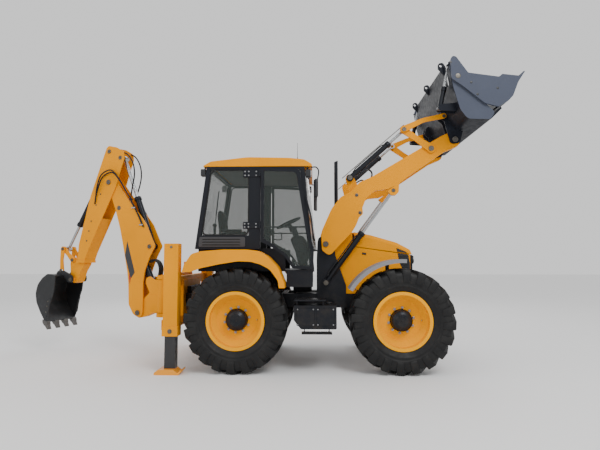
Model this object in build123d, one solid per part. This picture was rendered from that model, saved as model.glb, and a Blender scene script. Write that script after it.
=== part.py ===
from build123d import *
import math
import os

# Backhoe loader with four equal wheels. All lengths are in millimetres, X forward, Y left, Z up.
# While the model is built, X = 0 is the rear axle and Z = 0 is the ground; each finished piece is
# then moved back by ORIGIN_AHEAD, which puts the origin under the middle of the machine's length.

# Running gear
WHEELBASE = 2190
ORIGIN_AHEAD = 140               # from the rear axle forward to the origin
TYRE_RADIUS = 690                # to the lug tips
TYRE_WIDTH = 430
LUG_COUNT = 20                   # on each half of the tread
LUG_WIDTH = 58
LUG_SLANT = 75                   # a lug's ends stand this far before and behind its middle
LUG_PAST_CENTRE = 12
LUG_FOOT = 540                   # radius down to which a lug runs on the sidewall
LUG_TIP_HALF = 196               # half the tread's width at the lug tips
CARCASS_HALF = 204               # the tyre's body between the lugs
CARCASS_WIDEST = 545
SHOULDER_HALF = 186
CARCASS_RADIUS = 645
BEAD_RADIUS = 356
BEAD_HALF = 160
FLANGE_RADIUS = 386
RIM_WALL = 12
WHEEL_Y = 955                    # middle of the tyre
DISC_OUT = 20                    # the rim's disc, outward of the tyre's middle
HUB_RADIUS = 138
HUB_FACE_Y = 890                 # inner face of the turning hub
HUB_OUT_Y = 1078
STUB_RADIUS = 40
STUB_END_Y = 960
RUNNING = 0.5                    # radial gap of a pin or shaft in its bore
SLIDE_GAP = 0.5                  # between a runner and its way
GAP = 6                          # between pieces that move past each other
KINGPIN_Y = 805
KINGPIN_RADIUS = 24
YOKE_HALF_X = 42
YOKE_INNER = 112                 # half the opening between the yoke's two plates
YOKE_PLATE = 26
AXLE_TUBE = 88
GUARD_RADIUS = 798
GUARD_WALL = 12
GUARD_FROM = 86                  # degrees about the front axle, 0 = forward
GUARD_TO = 149
GUARD_INNER_Y = 762
GUARD_OUTER_Y = 1150
GUARD_LIP = 50

# Chassis
RAIL_IN = 300
RAIL_OUT = 384
RAIL_LOW = 800
RAIL_HIGH = 1000
FRAME_REAR = -850
FRAME_FRONT = WHEELBASE + 370
NOSE_BEAM = 80                   # length of the frame's front cross member
TANK_REAR = 765
TANK_CLEAR = 165                 # between the side tanks and the front tyres
TANK_FRONT = WHEELBASE - TYRE_RADIUS - TANK_CLEAR
TANK_HIGH = 885
TANK_LOW = 572
TANK_SLOPE = 690                 # height at which the tank's rear lower corner starts
HANGER = 210
TOWER_PLATE = 40
TOWER_TOP = 1830
PIVOT_BRACKET_X = 190            # axle pivot brackets, ahead and behind the front axle
SADDLE = 90

# Hood and engine bay
HOOD_HALF = 372
HOOD_REAR = 1606
HOOD_REAR_HIGH = 1905
HOOD_FRONT = 2476
HOOD_HINGE = (HOOD_REAR + 14, HOOD_REAR_HIGH - 16)
HOOD_HINGE_Y = 160
HOOD_HINGE_PIN = 7
HOOD_NOSE_HIGH = 1640
HOOD_SPLIT_REAR = 1690           # height of the hood's lower edge
HOOD_SPLIT_FRONT = 1570
SKIN = 8
COWL_FROM = 1166
COWL_HIGH = 1896
GRILLE_DEEP = 250
SLATS = 7
HEAD_LAMP_R = 62
HEAD_LAMP_Y = 270
HEAD_LAMP_Z = 1492
STACK_RADIUS = 28
STACK_X = 1367
STACK_Y = -300
STACK_TOP = 2985

# Cab
CAB_HALF = 850
CAB_INNER_HALF = 690             # lower body, between the rear wheels
POST = 60
FLOOR = 1352
WAIST = 1640
SILL = 1828                      # lower edge of the rear quarter windows
HEADER = 2730
ROOF_LOW = 2790
ROOF_ROUND = 18
FLOOR_PLATE = 24
A_POST_TOP_X = 872
A_POST_LOW_X = 1040
B_POST_FROM = 135
B_POST_TO = 292
C_POST_TOP_X = -430
C_POST_LOW_X = -612
SCREEN_BOW = 90                  # forward curve of the windscreen
SCREEN_LOW_X = A_POST_LOW_X - 50
SCREEN_TOP_X = A_POST_TOP_X - 6
GLASS = 6
DOOR_Y = 857                     # inner face of a door
DOOR_THICK = 28
DOOR_HINGE_X = 288
DOOR_HINGE_Y = 873
HINGE_RADIUS = 14
HINGE_PIN = 6
DOOR_FRAME = 42
SEAT_LOW = 1640

# Loader
ARM_Y = 480
ARM_THICK = 90
ARM_PIVOT = (1205, 1717)
LIFT_BASE = (1205, 1162)
LIFT_EYE = (2185, 2492)
TILT_BASE = (1560, 2682)
CRANK_TOP = (2340, 3372)
CRANK_PIVOT = (2730, 3097)
LINK_END = (2915, 3562)
BUCKET_PIVOT = (3075, 3227)
TORQUE_TUBE = (2570, 2925)
MAIN_PIN = 34
EYE_WIDTH = 46
LUG_PLATE = 16
CRANK_PLATE = 28
LINK_PLATE = 24
LIFT_BARREL_R = 40
LIFT_BARREL_LENGTH = 900
LIFT_ROD_R = 22
TILT_BARREL_R = 38
TILT_BARREL_LENGTH = 770
TILT_ROD_R = 22
BUCKET_HALF = 1168
CLAM_PLATE = 30
SIDE_PLATE = 20
SHELL = 20
CLAM_PIVOT = (2955, 3932)
CLAM_EAR = (2895, 4170)
CLAM_BASE = (2760, 3560)
CLAM_RAM_Y = 950
CLAM_BARREL_R = 34
CLAM_BARREL_LENGTH = 300
CLAM_ROD_R = 18

# Backhoe; D is the distance behind the kingpost's axis, with the arm straight back
KINGPOST_X = -1315
SWING_REST = 18                  # degrees to the left in the parked position
BOOM_HALF = 100
CHEEK = 20
DIPPER_HALF = 120
DIPPER_CHEEK = 14
STEM_FROM = 1480                 # the inner dipper's stem in the dipper's collar
STEM_TO = 1550
STEM_HALF = 78
BOOM_FOOT = (385, 667)
BOOM_RAM_BASE = (210, 1172)
BOOM_RAM_EYE = (795, 2322)
DIPPER_PIVOT = (995, 2747)
DIPPER_RAM_BASE = (190, 1697)
DIPPER_RAM_EYE = (780, 3137)
CURL_RAM_BASE = (1000, 3252)
LEVER_PIVOT = (1715, 1485)
LEVER_END = (1900, 1670)
DIG_PIVOT = (1690, 1165)
DIG_LINK_PIN = (1905, 1312)
BOOM_BARREL_R = 52
BOOM_BARREL_LENGTH = 1120
BOOM_ROD_R = 30
DIPPER_BARREL_R = 48
DIPPER_BARREL_LENGTH = 860
DIPPER_ROD_R = 28
CURL_BARREL_R = 42
CURL_BARREL_LENGTH = 1380
CURL_ROD_R = 24
DIG_BUCKET_HALF = 310
FOOT_HALF = 70
KINGPOST_R = 80
KINGPOST_PIN = 36
EAR_OUT = 75                     # outer face of the boom ram's ears
EAR_PLATE = 16
CARRIAGE_HALF = 330
CARRIAGE_LUG_R = 92
LUG_LOW = 610
LUG_HIGH = 1190
LUG_THICK = 60

# Rear frame and stabilisers
LEG_X = -855
LEG_BOX = 190
LEG_Y = 1060
LEG_BOX_Y = 160
LEG_LOW = 492
LEG_HIGH = 1707
LEG_WALL = 12
LEG_INNER = 144
LEG_INNER_Y = 118
PAD_X = 305
PAD_Y = 220
PAD_HIGH = 70
BEAM_REAR = -1000                # rear face of the two cross beams
BEAM_FRONT = -870
BEAM_LOW = (560, 690)
BEAM_HIGH = (1130, 1260)


def block(x0, x1, y0, y1, z0, z1):
    """Rectangular solid between two corners."""
    return Pos((x0 + x1) / 2, (y0 + y1) / 2, (z0 + z1) / 2) * Box(
        abs(x1 - x0), abs(y1 - y0), abs(z1 - z0))


def round_pin(point, y0, y1, radius):
    """Cylinder along Y through a point (x, z)."""
    plane = Plane(origin=(point[0], min(y0, y1), point[1]), z_dir=(0, 1, 0))
    return Solid.make_cylinder(radius, abs(y1 - y0), plane)


def upright(x, y, z0, z1, radius):
    """Cylinder along Z."""
    return Solid.make_cylinder(radius, z1 - z0, Plane(origin=(x, y, z0), z_dir=(0, 0, 1)))


def rod_between(start, end, y, radius):
    """Cylinder in a plane of constant Y, from one (x, z) point to another."""
    dx, dz = end[0] - start[0], end[1] - start[1]
    plane = Plane(origin=(start[0], y, start[1]), z_dir=(dx, 0, dz))
    return Solid.make_cylinder(radius, math.hypot(dx, dz), plane)


def along(start, end, distance):
    """The (x, z) point at a distance from start towards end."""
    length = math.dist(start, end)
    return (start[0] + (end[0] - start[0]) * distance / length,
            start[1] + (end[1] - start[1]) * distance / length)


def outline(points):
    """Closed face in a local XY plane from rows of (x, y) or (x, y, corner radius)."""
    edges = []
    count = len(points)
    ends = []
    for i in range(count):
        here = Vector(points[i][0], points[i][1])
        before = Vector(points[i - 1][0], points[i - 1][1])
        after = Vector(points[(i + 1) % count][0], points[(i + 1) % count][1])
        radius = points[i][2] if len(points[i]) > 2 else 0
        if radius == 0:
            ends.append((here, here, here))
            continue
        back = (before - here).normalized()
        ahead = (after - here).normalized()
        half = math.radians(back.get_angle(ahead)) / 2
        reach = radius / math.tan(half)
        middle = (back + ahead).normalized() * (radius / math.sin(half) - radius)
        ends.append((here + back * reach, here + middle, here + ahead * reach))
    for i in range(count):
        start, middle, end = ends[i]
        if (end - start).length > 0:
            edges.append(ThreePointArc(start, middle, end))
        following = ends[(i + 1) % count][0]
        if (following - end).length > 0.001:
            edges.append(Line(end, following))
    return make_face(Wire(edges))


def plate(points, y0, y1):
    """Outline in (x, z), extruded between two Y planes."""
    low, high = min(y0, y1), max(y0, y1)
    plane = Plane(origin=(0, high, 0), x_dir=(1, 0, 0), z_dir=(0, -1, 0))
    return extrude(plane * outline(points), high - low)


def post(low, high, size_x, size_y):
    """Straight post between two points (x, y, z), cut level at both ends."""
    ends = [Plane(origin=point, z_dir=(0, 0, 1)) * Rectangle(size_x, size_y)
            for point in (low, high)]
    return loft(ends)


def both_sides(make):
    """The piece for the right side (-1) and the left side (1)."""
    return [make(-1), make(1)]


def fuse(pieces):
    """One body from pieces that touch or overlap."""
    pieces = list(pieces)
    body = pieces[0]
    for piece in pieces[1:]:
        body = body + piece
    return body


def barrel(base, eye, y, radius, rod_radius, length, eye_radius, eye_width, pin):
    """Ram barrel: bored tube with an eye at its base."""
    mouth = along(base, eye, length)
    body = rod_between(along(base, eye, eye_radius * 0.7), mouth, y, radius)
    collar = rod_between(along(base, eye, length - 55), mouth, y, radius + 6)
    ring = round_pin(base, y - eye_width / 2, y + eye_width / 2, eye_radius)
    bore = rod_between(along(base, eye, eye_radius + 20), along(base, eye, length + 5), y,
                       rod_radius + RUNNING)
    hole = round_pin(base, y - eye_width, y + eye_width, pin + RUNNING)
    return body + collar + ring - bore - hole


def ram_rod(base, eye, y, radius, inside, barrel_length, eye_radius, eye_width, pin):
    """Ram rod from inside the barrel to an eye at its end."""
    inner = along(base, eye, barrel_length - inside)
    body = rod_between(inner, along(eye, base, eye_radius * 0.6), y, radius)
    ring = round_pin(eye, y - eye_width / 2, y + eye_width / 2, eye_radius)
    hole = round_pin(eye, y - eye_width, y + eye_width, pin)
    return body + ring - hole


def behind(point):
    """Turn a (distance behind the kingpost, height) point into (x, z)."""
    return (KINGPOST_X - point[0],) + tuple(point[1:])


def turned_left(body):
    """Swing a backhoe piece from straight back to its parked angle."""
    return body.rotate(Axis((KINGPOST_X, 0, 0), (0, 0, 1)), -SWING_REST)


# Running gear

def tyre_lug(turn, half):
    """Slanting lug from the tread's middle to the sidewall, turned about the axle."""
    height = math.sqrt(TYRE_RADIUS ** 2 - (LUG_SLANT + LUG_WIDTH / 2) ** 2)
    corners = [(-LUG_PAST_CENTRE, -1, -1), (1, 1, -1), (1, 1, 1), (-LUG_PAST_CENTRE, -1, 1)]
    sections = []
    for z, outer in ((LUG_FOOT, TYRE_WIDTH / 2 - 1), (height, LUG_TIP_HALF)):
        plan = [(LUG_SLANT * end + LUG_WIDTH / 2 * edge, half * (outer if y > 0 else y))
                for y, end, edge in corners]
        sections.append(Plane(origin=(0, 0, z)) * make_face(Polyline(plan, close=True)))
    return Rot(0, turn, 0) * loft(sections, ruled=True)


def tyre(x, side):
    """Tyre, bead to lug tips: a ring of flat bands, bored for its rim, under slanting lugs."""
    bands = [        # y, radius
        (-BEAD_HALF, BEAD_RADIUS + 36), (-CARCASS_HALF, CARCASS_WIDEST),
        (-SHOULDER_HALF, CARCASS_RADIUS), (SHOULDER_HALF, CARCASS_RADIUS),
        (CARCASS_HALF, CARCASS_WIDEST), (BEAD_HALF, BEAD_RADIUS + 36)]
    ring = loft([Plane(origin=(0, y, 0), x_dir=(1, 0, 0), z_dir=(0, 1, 0))
                 * RegularPolygon(radius, 2 * LUG_COUNT) for y, radius in bands], ruled=True)
    ring -= round_pin((0, 0), -BEAD_HALF - 1, BEAD_HALF + 1, BEAD_RADIUS)
    pitch = 360 / LUG_COUNT
    lugs = [tyre_lug(pitch * (i + (0.5 if half < 0 else 0)), half)
            for half in (-1, 1) for i in range(LUG_COUNT)]
    return Pos(x, side * WHEEL_Y, TYRE_RADIUS) * ring.fuse(*lugs)


def rim(x, side):
    """Rim with flanges, dished disc and hub; outward is side * Y."""
    seat = BEAD_RADIUS - 0.5
    inner = seat - RIM_WALL
    half = BEAD_HALF
    well = outline([(inner, -half - 14), (FLANGE_RADIUS, -half - 14), (FLANGE_RADIUS, -half - 4),
                    (seat, -half - 1), (seat, half + 1), (FLANGE_RADIUS, half + 4),
                    (FLANGE_RADIUS, half + 14), (inner, half + 14)])
    barrel_ring = revolve(Plane.XY * well, Axis.Y)
    disc = outline([(120, DISC_OUT - 40), (inner - 60, DISC_OUT - 40), (inner + 4, DISC_OUT + 30),
                    (inner + 4, DISC_OUT + 50), (inner - 72, DISC_OUT - 22),
                    (120, DISC_OUT - 22)])
    plate_ring = revolve(Plane.XY * disc, Axis.Y)
    face = HUB_OUT_Y - WHEEL_Y
    back = HUB_FACE_Y - WHEEL_Y
    hub = outline([(0, back), (HUB_RADIUS + 8, back), (HUB_RADIUS + 8, DISC_OUT - 10),
                   (HUB_RADIUS, DISC_OUT), (HUB_RADIUS - 8, face - 30, 12), (HUB_RADIUS - 60, face),
                   (0, face)])
    hub_body = revolve(Plane.XY * hub, Axis.Y)
    bore = Solid.make_cylinder(STUB_RADIUS + RUNNING, STUB_END_Y + 5 - HUB_FACE_Y,
                               Plane(origin=(0, back, 0), z_dir=(0, 1, 0)))
    wheel = barrel_ring + plate_ring + hub_body - bore
    if side < 0:
        wheel = wheel.mirror(Plane.XZ)
    return Pos(x, side * WHEEL_Y, TYRE_RADIUS) * wheel


def axle_stub(x, side):
    """Flange end and stub shaft on which a wheel turns."""
    face = HUB_FACE_Y - GAP
    flange = round_pin((x, TYRE_RADIUS), side * (face - 30), side * face, 120)
    shaft = round_pin((x, TYRE_RADIUS), side * (face - 10), side * STUB_END_Y, STUB_RADIUS)
    return flange + shaft


def rear_axle():
    """Rigid rear axle: final drive housing, tubes, saddles and stubs."""
    centre = (0, TYRE_RADIUS)
    case = Pos(0, 0, TYRE_RADIUS) * Sphere(170)
    cover = Solid.make_cylinder(120, 120, Plane(origin=(80, 0, TYRE_RADIUS), z_dir=(1, 0, 0)))
    pieces = [case + cover]
    for side in (-1, 1):
        tube_end = side * (HUB_FACE_Y - GAP - 20)
        pieces.append(round_pin(centre, 0, tube_end, AXLE_TUBE))
        pieces.append(block(-SADDLE, SADDLE, side * RAIL_IN, side * RAIL_OUT, 740, RAIL_LOW))
        pieces.append(axle_stub(0, side))
    return fuse(pieces)


def front_axle():
    """Front axle beam with a pivot boss, and yokes for the kingpins."""
    centre = (WHEELBASE, TYRE_RADIUS)
    case = Pos(WHEELBASE, 110, TYRE_RADIUS) * Sphere(150)
    boss = Solid.make_cylinder(70, 2 * PIVOT_BRACKET_X - 40, Plane(
        origin=(WHEELBASE - PIVOT_BRACKET_X + 20, 0, TYRE_RADIUS), z_dir=(1, 0, 0)))
    yoke_in = KINGPIN_Y - 120
    pieces = [round_pin(centre, -yoke_in, yoke_in, AXLE_TUBE), case, boss]
    outer = YOKE_INNER + YOKE_PLATE
    for side in (-1, 1):
        arms = block(WHEELBASE - YOKE_HALF_X, WHEELBASE + YOKE_HALF_X, side * (yoke_in - 20),
                     side * (KINGPIN_Y + 32), TYRE_RADIUS - outer, TYRE_RADIUS + outer)
        arms -= block(WHEELBASE - 80, WHEELBASE + 80, side * (yoke_in + 24), side * 900,
                      TYRE_RADIUS - YOKE_INNER, TYRE_RADIUS + YOKE_INNER)
        arms -= upright(WHEELBASE, side * KINGPIN_Y, TYRE_RADIUS - 200, TYRE_RADIUS + 200,
                        KINGPIN_RADIUS + RUNNING)
        pieces.append(arms)
    return fuse(pieces)


def guard_seat_height():
    """Top of the bar that carries a front mudguard, just under its skin."""
    return TYRE_RADIUS + math.sqrt(GUARD_RADIUS ** 2 - 175 ** 2) - 6


def knuckle(side):
    """Steering knuckle: kingpin, stub shaft, steering arm and the mudguard's strut."""
    x = WHEELBASE
    top = TYRE_RADIUS + YOKE_INNER + YOKE_PLATE + GAP
    inside = YOKE_INNER - GAP
    body = upright(x, side * KINGPIN_Y, TYRE_RADIUS - inside, TYRE_RADIUS + inside, 50)
    pin = upright(x, side * KINGPIN_Y, TYRE_RADIUS - YOKE_INNER - YOKE_PLATE - 4, top + 10,
                  KINGPIN_RADIUS)
    spindle = round_pin((x, TYRE_RADIUS), side * (KINGPIN_Y - 20), side * (HUB_FACE_Y - GAP - 20),
                        96)
    cap = block(x - 165, x + 40, side * 712, side * (KINGPIN_Y + 30), top, top + 22)
    bar = guard_seat_height()
    strut = block(x - 165, x - 115, side * 712, side * 730, top, bar)
    strut += block(x - 165, x - 115, side * 712, side * (GUARD_INNER_Y + 120), bar - 16, bar)
    arm = block(x + 30, x + 150, side * (KINGPIN_Y - 40), side * (KINGPIN_Y - 12),
                TYRE_RADIUS - 40, TYRE_RADIUS - 10)
    return fuse([body, pin, spindle, axle_stub(x, side), cap, strut, arm])


def front_guard(side):
    """Curved mudguard over the back of a front wheel, with a turned-down outer lip."""
    centre = (WHEELBASE, TYRE_RADIUS)

    def arc_band(inner, outer, y0, y1):
        ring = round_pin(centre, y0, y1, outer) - round_pin(centre, y0 - 5, y1 + 5, inner)
        reach = 2 * outer
        low, high = math.radians(GUARD_FROM), math.radians(GUARD_TO)
        middle = (low + high) / 2
        wedge = plate([centre,
                       (centre[0] + reach * math.cos(low), centre[1] + reach * math.sin(low)),
                       (centre[0] + reach * math.cos(middle),
                        centre[1] + reach * math.sin(middle)),
                       (centre[0] + reach * math.cos(high), centre[1] + reach * math.sin(high))],
                      y0 - 10, y1 + 10)
        return ring & wedge

    y0, y1 = sorted((side * GUARD_INNER_Y, side * GUARD_OUTER_Y))
    lip0, lip1 = sorted((side * (GUARD_OUTER_Y - 8), side * GUARD_OUTER_Y))
    skin = arc_band(GUARD_RADIUS, GUARD_RADIUS + GUARD_WALL, y0, y1)
    lip = arc_band(GUARD_RADIUS + GUARD_WALL - GUARD_LIP, GUARD_RADIUS + GUARD_WALL, lip0, lip1)
    strut_x = WHEELBASE - 140
    height = math.sqrt(GUARD_RADIUS ** 2 - (WHEELBASE - strut_x) ** 2)
    seat = block(strut_x - 25, strut_x + 25, side * (GUARD_INNER_Y + 5),
                 side * (GUARD_INNER_Y + 115), guard_seat_height(), TYRE_RADIUS + height + 4)
    return skin + lip + seat


# Chassis

def main_frame():
    """Two rails, cross members, axle pivot brackets and the loader towers."""
    pieces = []
    for side in (-1, 1):
        pieces.append(block(FRAME_REAR, FRAME_FRONT, side * RAIL_IN, side * RAIL_OUT,
                            RAIL_LOW, RAIL_HIGH))
        tower = plate([(1078, RAIL_LOW), (1500, RAIL_LOW), (1500, 1120, 40), (1345, 1560, 60),
                       (1330, TOWER_TOP, 60), (1095, TOWER_TOP, 60), (1078, 1500, 60)],
                      side * RAIL_OUT, side * (RAIL_OUT + TOWER_PLATE))
        pin_end = side * (ARM_Y + ARM_THICK / 2 + 12)
        tower += round_pin(ARM_PIVOT, side * (RAIL_OUT + 5), pin_end, MAIN_PIN + 4)
        tower += round_pin(LIFT_BASE, side * (RAIL_OUT + 5), pin_end, MAIN_PIN)
        pieces.append(tower)
    cross_members = [        # from x, to x, low z, high z
        (-850, -790, RAIL_LOW - 200, RAIL_HIGH + 100), (560, 640, RAIL_LOW, RAIL_HIGH),
        (1040, 1140, RAIL_LOW, RAIL_LOW + 38), (FRAME_FRONT - NOSE_BEAM, FRAME_FRONT, RAIL_LOW - 60, RAIL_HIGH)]
    for x0, x1, z0, z1 in cross_members:
        pieces.append(block(x0, x1, -RAIL_IN - 10, RAIL_IN + 10, z0, z1))
        pieces.append(block(-560, -480, side * RAIL_IN, side * RAIL_OUT, RAIL_HIGH,
                            FLOOR - FLOOR_PLATE))
        pieces.append(block(700, 1000, side * RAIL_IN, side * (RAIL_OUT + 30), RAIL_HIGH, 1120))
    pieces.append(round_pin((1150, 1640), -RAIL_OUT, RAIL_OUT, 50))
    for end in (-1, 1):
        x = WHEELBASE + end * (PIVOT_BRACKET_X + 15)
        bracket = block(x - 14, x + 14, -RAIL_IN - 5, RAIL_IN + 5, RAIL_LOW - 10, RAIL_LOW + 60)
        bracket += block(x - 14, x + 14, -120, 120, TYRE_RADIUS - 70, RAIL_LOW + 60)
        pin = Solid.make_cylinder(30, 60, Plane(origin=(x - 30, 0, TYRE_RADIUS), z_dir=(1, 0, 0)))
        pieces.append(bracket + pin)
    return fuse(pieces)


def engine():
    """Engine block with the gearbox behind it, between the rails."""
    block_body = block(1640, 2210, -230, 230, 870, 1500)
    gearbox = block(760, 1660, -170, 170, 842, 990)
    sump = block(1700, 2200 - PIVOT_BRACKET_X - 60, -150, 150, 700, 870)
    mounts = block(1780, 1860, -RAIL_IN, RAIL_IN, 880, 960)
    return fuse([block_body, gearbox, sump, mounts])


def hood():
    """Hinged hood: a shell open below and behind, with rounded shoulders."""
    side_view = [(HOOD_REAR, HOOD_SPLIT_REAR), (HOOD_REAR, HOOD_REAR_HIGH, 30),
                 (1860, 1858, 400), (2250, 1745, 300), (HOOD_FRONT - 30, HOOD_NOSE_HIGH, 60),
                 (HOOD_FRONT, HOOD_SPLIT_FRONT)]
    body = plate(side_view, -HOOD_HALF, HOOD_HALF)
    crown = [edge for edge in body.edges().filter_by(
        lambda e: abs(abs(e.center().Y) - HOOD_HALF) < 1) if edge.center().Z > 1640]
    body = fillet(crown, 55)
    hollow = [(HOOD_REAR - 10, HOOD_SPLIT_REAR - 60), (HOOD_REAR - 10, HOOD_REAR_HIGH - SKIN - 12),
              (1860, 1846, 400), (2250, 1733, 300),
              (HOOD_FRONT - 40, HOOD_NOSE_HIGH - 18, 60),
              (HOOD_FRONT - 14, HOOD_SPLIT_FRONT - 60)]
    inside = plate(hollow, -HOOD_HALF + SKIN, HOOD_HALF - SKIN)
    crown = [edge for edge in inside.edges().filter_by(
        lambda e: abs(abs(e.center().Y) - HOOD_HALF + SKIN) < 1) if edge.center().Z > 1640]
    inside = fillet(crown, 48)
    shell = body - inside
    for y in (-HOOD_HINGE_Y, HOOD_HINGE_Y):
        shell -= block(HOOD_REAR - 1, HOOD_REAR + 34, y - 20, y + 20, HOOD_REAR_HIGH - 60,
                       HOOD_REAR_HIGH + 1)
        shell += round_pin(HOOD_HINGE, y - 40, y + 40, HOOD_HINGE_PIN)
    return shell


def engine_cowl():
    """Fixed cowl behind the hood and the side panels below it."""
    cowl = block(COWL_FROM, HOOD_REAR - 8, -RAIL_OUT, RAIL_OUT, RAIL_HIGH, COWL_HIGH)
    top_edges = cowl.edges().filter_by(Axis.X).sort_by(Axis.Z)[-2:]
    cowl = fillet(top_edges, 55)
    cowl -= round_pin((1150, 1640), -RAIL_OUT - 5, RAIL_OUT + 5, 51)
    pieces = [cowl]
    for y in (-HOOD_HINGE_Y, HOOD_HINGE_Y):
        arm = block(HOOD_REAR - 10, HOOD_HINGE[0], y - 14, y + 14, HOOD_HINGE[1] - 12, COWL_HIGH)
        arm += round_pin(HOOD_HINGE, y - 14, y + 14, 12)
        arm -= round_pin(HOOD_HINGE, y - 20, y + 20, HOOD_HINGE_PIN + RUNNING)
        pieces.append(arm)
    for side in (-1, 1):
        pieces.append(plate([(HOOD_REAR - 20, RAIL_HIGH), (2440, RAIL_HIGH),
                             (2440, HOOD_SPLIT_FRONT - GAP), (HOOD_REAR - 20,
                                                             HOOD_SPLIT_REAR - GAP)],
                            side * (HOOD_HALF - SKIN), side * HOOD_HALF))
    return fuse(pieces)


def front_grille():
    """Radiator grille wrapped round the front of the engine bay, with level slats."""
    outer = HOOD_HALF - SKIN
    low, high = RAIL_HIGH, HOOD_SPLIT_FRONT - GAP - 2
    front = HOOD_FRONT - 2
    frame = block(front - GRILLE_DEEP, front, -outer, outer, low, high)
    frame -= block(front - GRILLE_DEEP - 1, front - 20, -outer + 20, outer - 20, low + 30,
                   high - 30)
    frame -= block(front - 30, front + 1, -outer + 60, outer - 60, low + 60, high - 50)
    pitch = (high - low - 110) / SLATS
    for i in range(SLATS):
        z = low + 60 + pitch * (i + 0.5)
        frame += block(front - 22, front - 6, -outer + 55, outer - 55, z - 12, z + 12)
    return frame


def exhaust():
    """Upright exhaust stack with a slash-cut top."""
    stack = upright(STACK_X, STACK_Y, COWL_HIGH, STACK_TOP, STACK_RADIUS)
    stack -= upright(STACK_X, STACK_Y, STACK_TOP - 260, STACK_TOP + 5, STACK_RADIUS - 3)
    stack += upright(STACK_X, STACK_Y, COWL_HIGH, COWL_HIGH + 330, STACK_RADIUS + 14)
    cut = Pos(STACK_X, STACK_Y, STACK_TOP + 12) * Rot(0, -22, 0) * Box(200, 200, 60)
    return stack - cut


def side_tanks():
    """Tank with two steps under each door, hung from the chassis rails."""
    pieces = []
    for side in (-1, 1):
        tank = plate([(TANK_REAR, TANK_SLOPE), (TANK_REAR, TANK_HIGH), (TANK_FRONT, TANK_HIGH),
                      (TANK_FRONT, TANK_LOW, 20), (TANK_REAR + 95, TANK_LOW, 20)],
                     side * 560, side * 1010)
        hanger = block(TANK_REAR + 55, TANK_REAR + 55 + HANGER, side * RAIL_OUT, side * 570,
                       RAIL_LOW + 20, RAIL_LOW + 80)
        tread = block(TANK_REAR + 10, TANK_FRONT - 150, side * 800, side * 1080,
                      TANK_HIGH + 63, TANK_HIGH + 81)
        risers = [block(x, x + 12, side * 820, side * 1000, TANK_HIGH - 5, TANK_HIGH + 65)
                  for x in (TANK_REAR + 35, TANK_FRONT - 185)]
        step_rear, step_front = TANK_REAR + 105, TANK_FRONT - 65
        low_step = block(step_rear, step_front, side * 960, side * 1110, TANK_LOW - 52,
                         TANK_LOW - 34)
        drops = [block(x, x + 12, side * 990, side * 1006, TANK_LOW - 42, TANK_LOW + 28)
                 for x in (step_rear + share * (step_front - step_rear)
                           for share in (0.075, 0.895))]
        pieces.append(fuse([tank, hanger, tread, low_step] + risers + drops))
    return pieces


def rear_fenders():
    """Sheet fender over each rear wheel: a curved top skin with a deep outer band."""
    upper = [(-712, 1330), (-690, 1420, 60), (-590, 1570, 90), (-470, 1604, 80), (-165, 1627, 300),
             (150, 1627, 300), (300, 1608, 160), (430, 1530, 180), (560, 1390, 160),
             (646, 1180, 60), (650, 1120)]
    lower = [(572, 1120), (560, 1215, 80), (455, 1362, 180), (330, 1430, 180), (200, 1466, 200),
             (25, 1472, 400), (-225, 1432, 400), (-470, 1380, 300), (-610, 1330)]
    pieces = []
    for side in (-1, 1):
        band = plate(upper + lower, side * 1096, side * 1130)
        skin_low = [(x, z - 16) + tuple(rest) for x, z, *rest in reversed(upper)]
        skin_low[0] = (634, 1120)
        skin_low[1] = (630, 1172, 60)
        skin_low[-1] = (-696, 1330)
        skin_low[-2] = (-675, 1412, 50)
        skin = plate(upper + skin_low, side * CAB_INNER_HALF, side * 1130)
        pieces.append(band + skin)
    return pieces


# Cab

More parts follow.
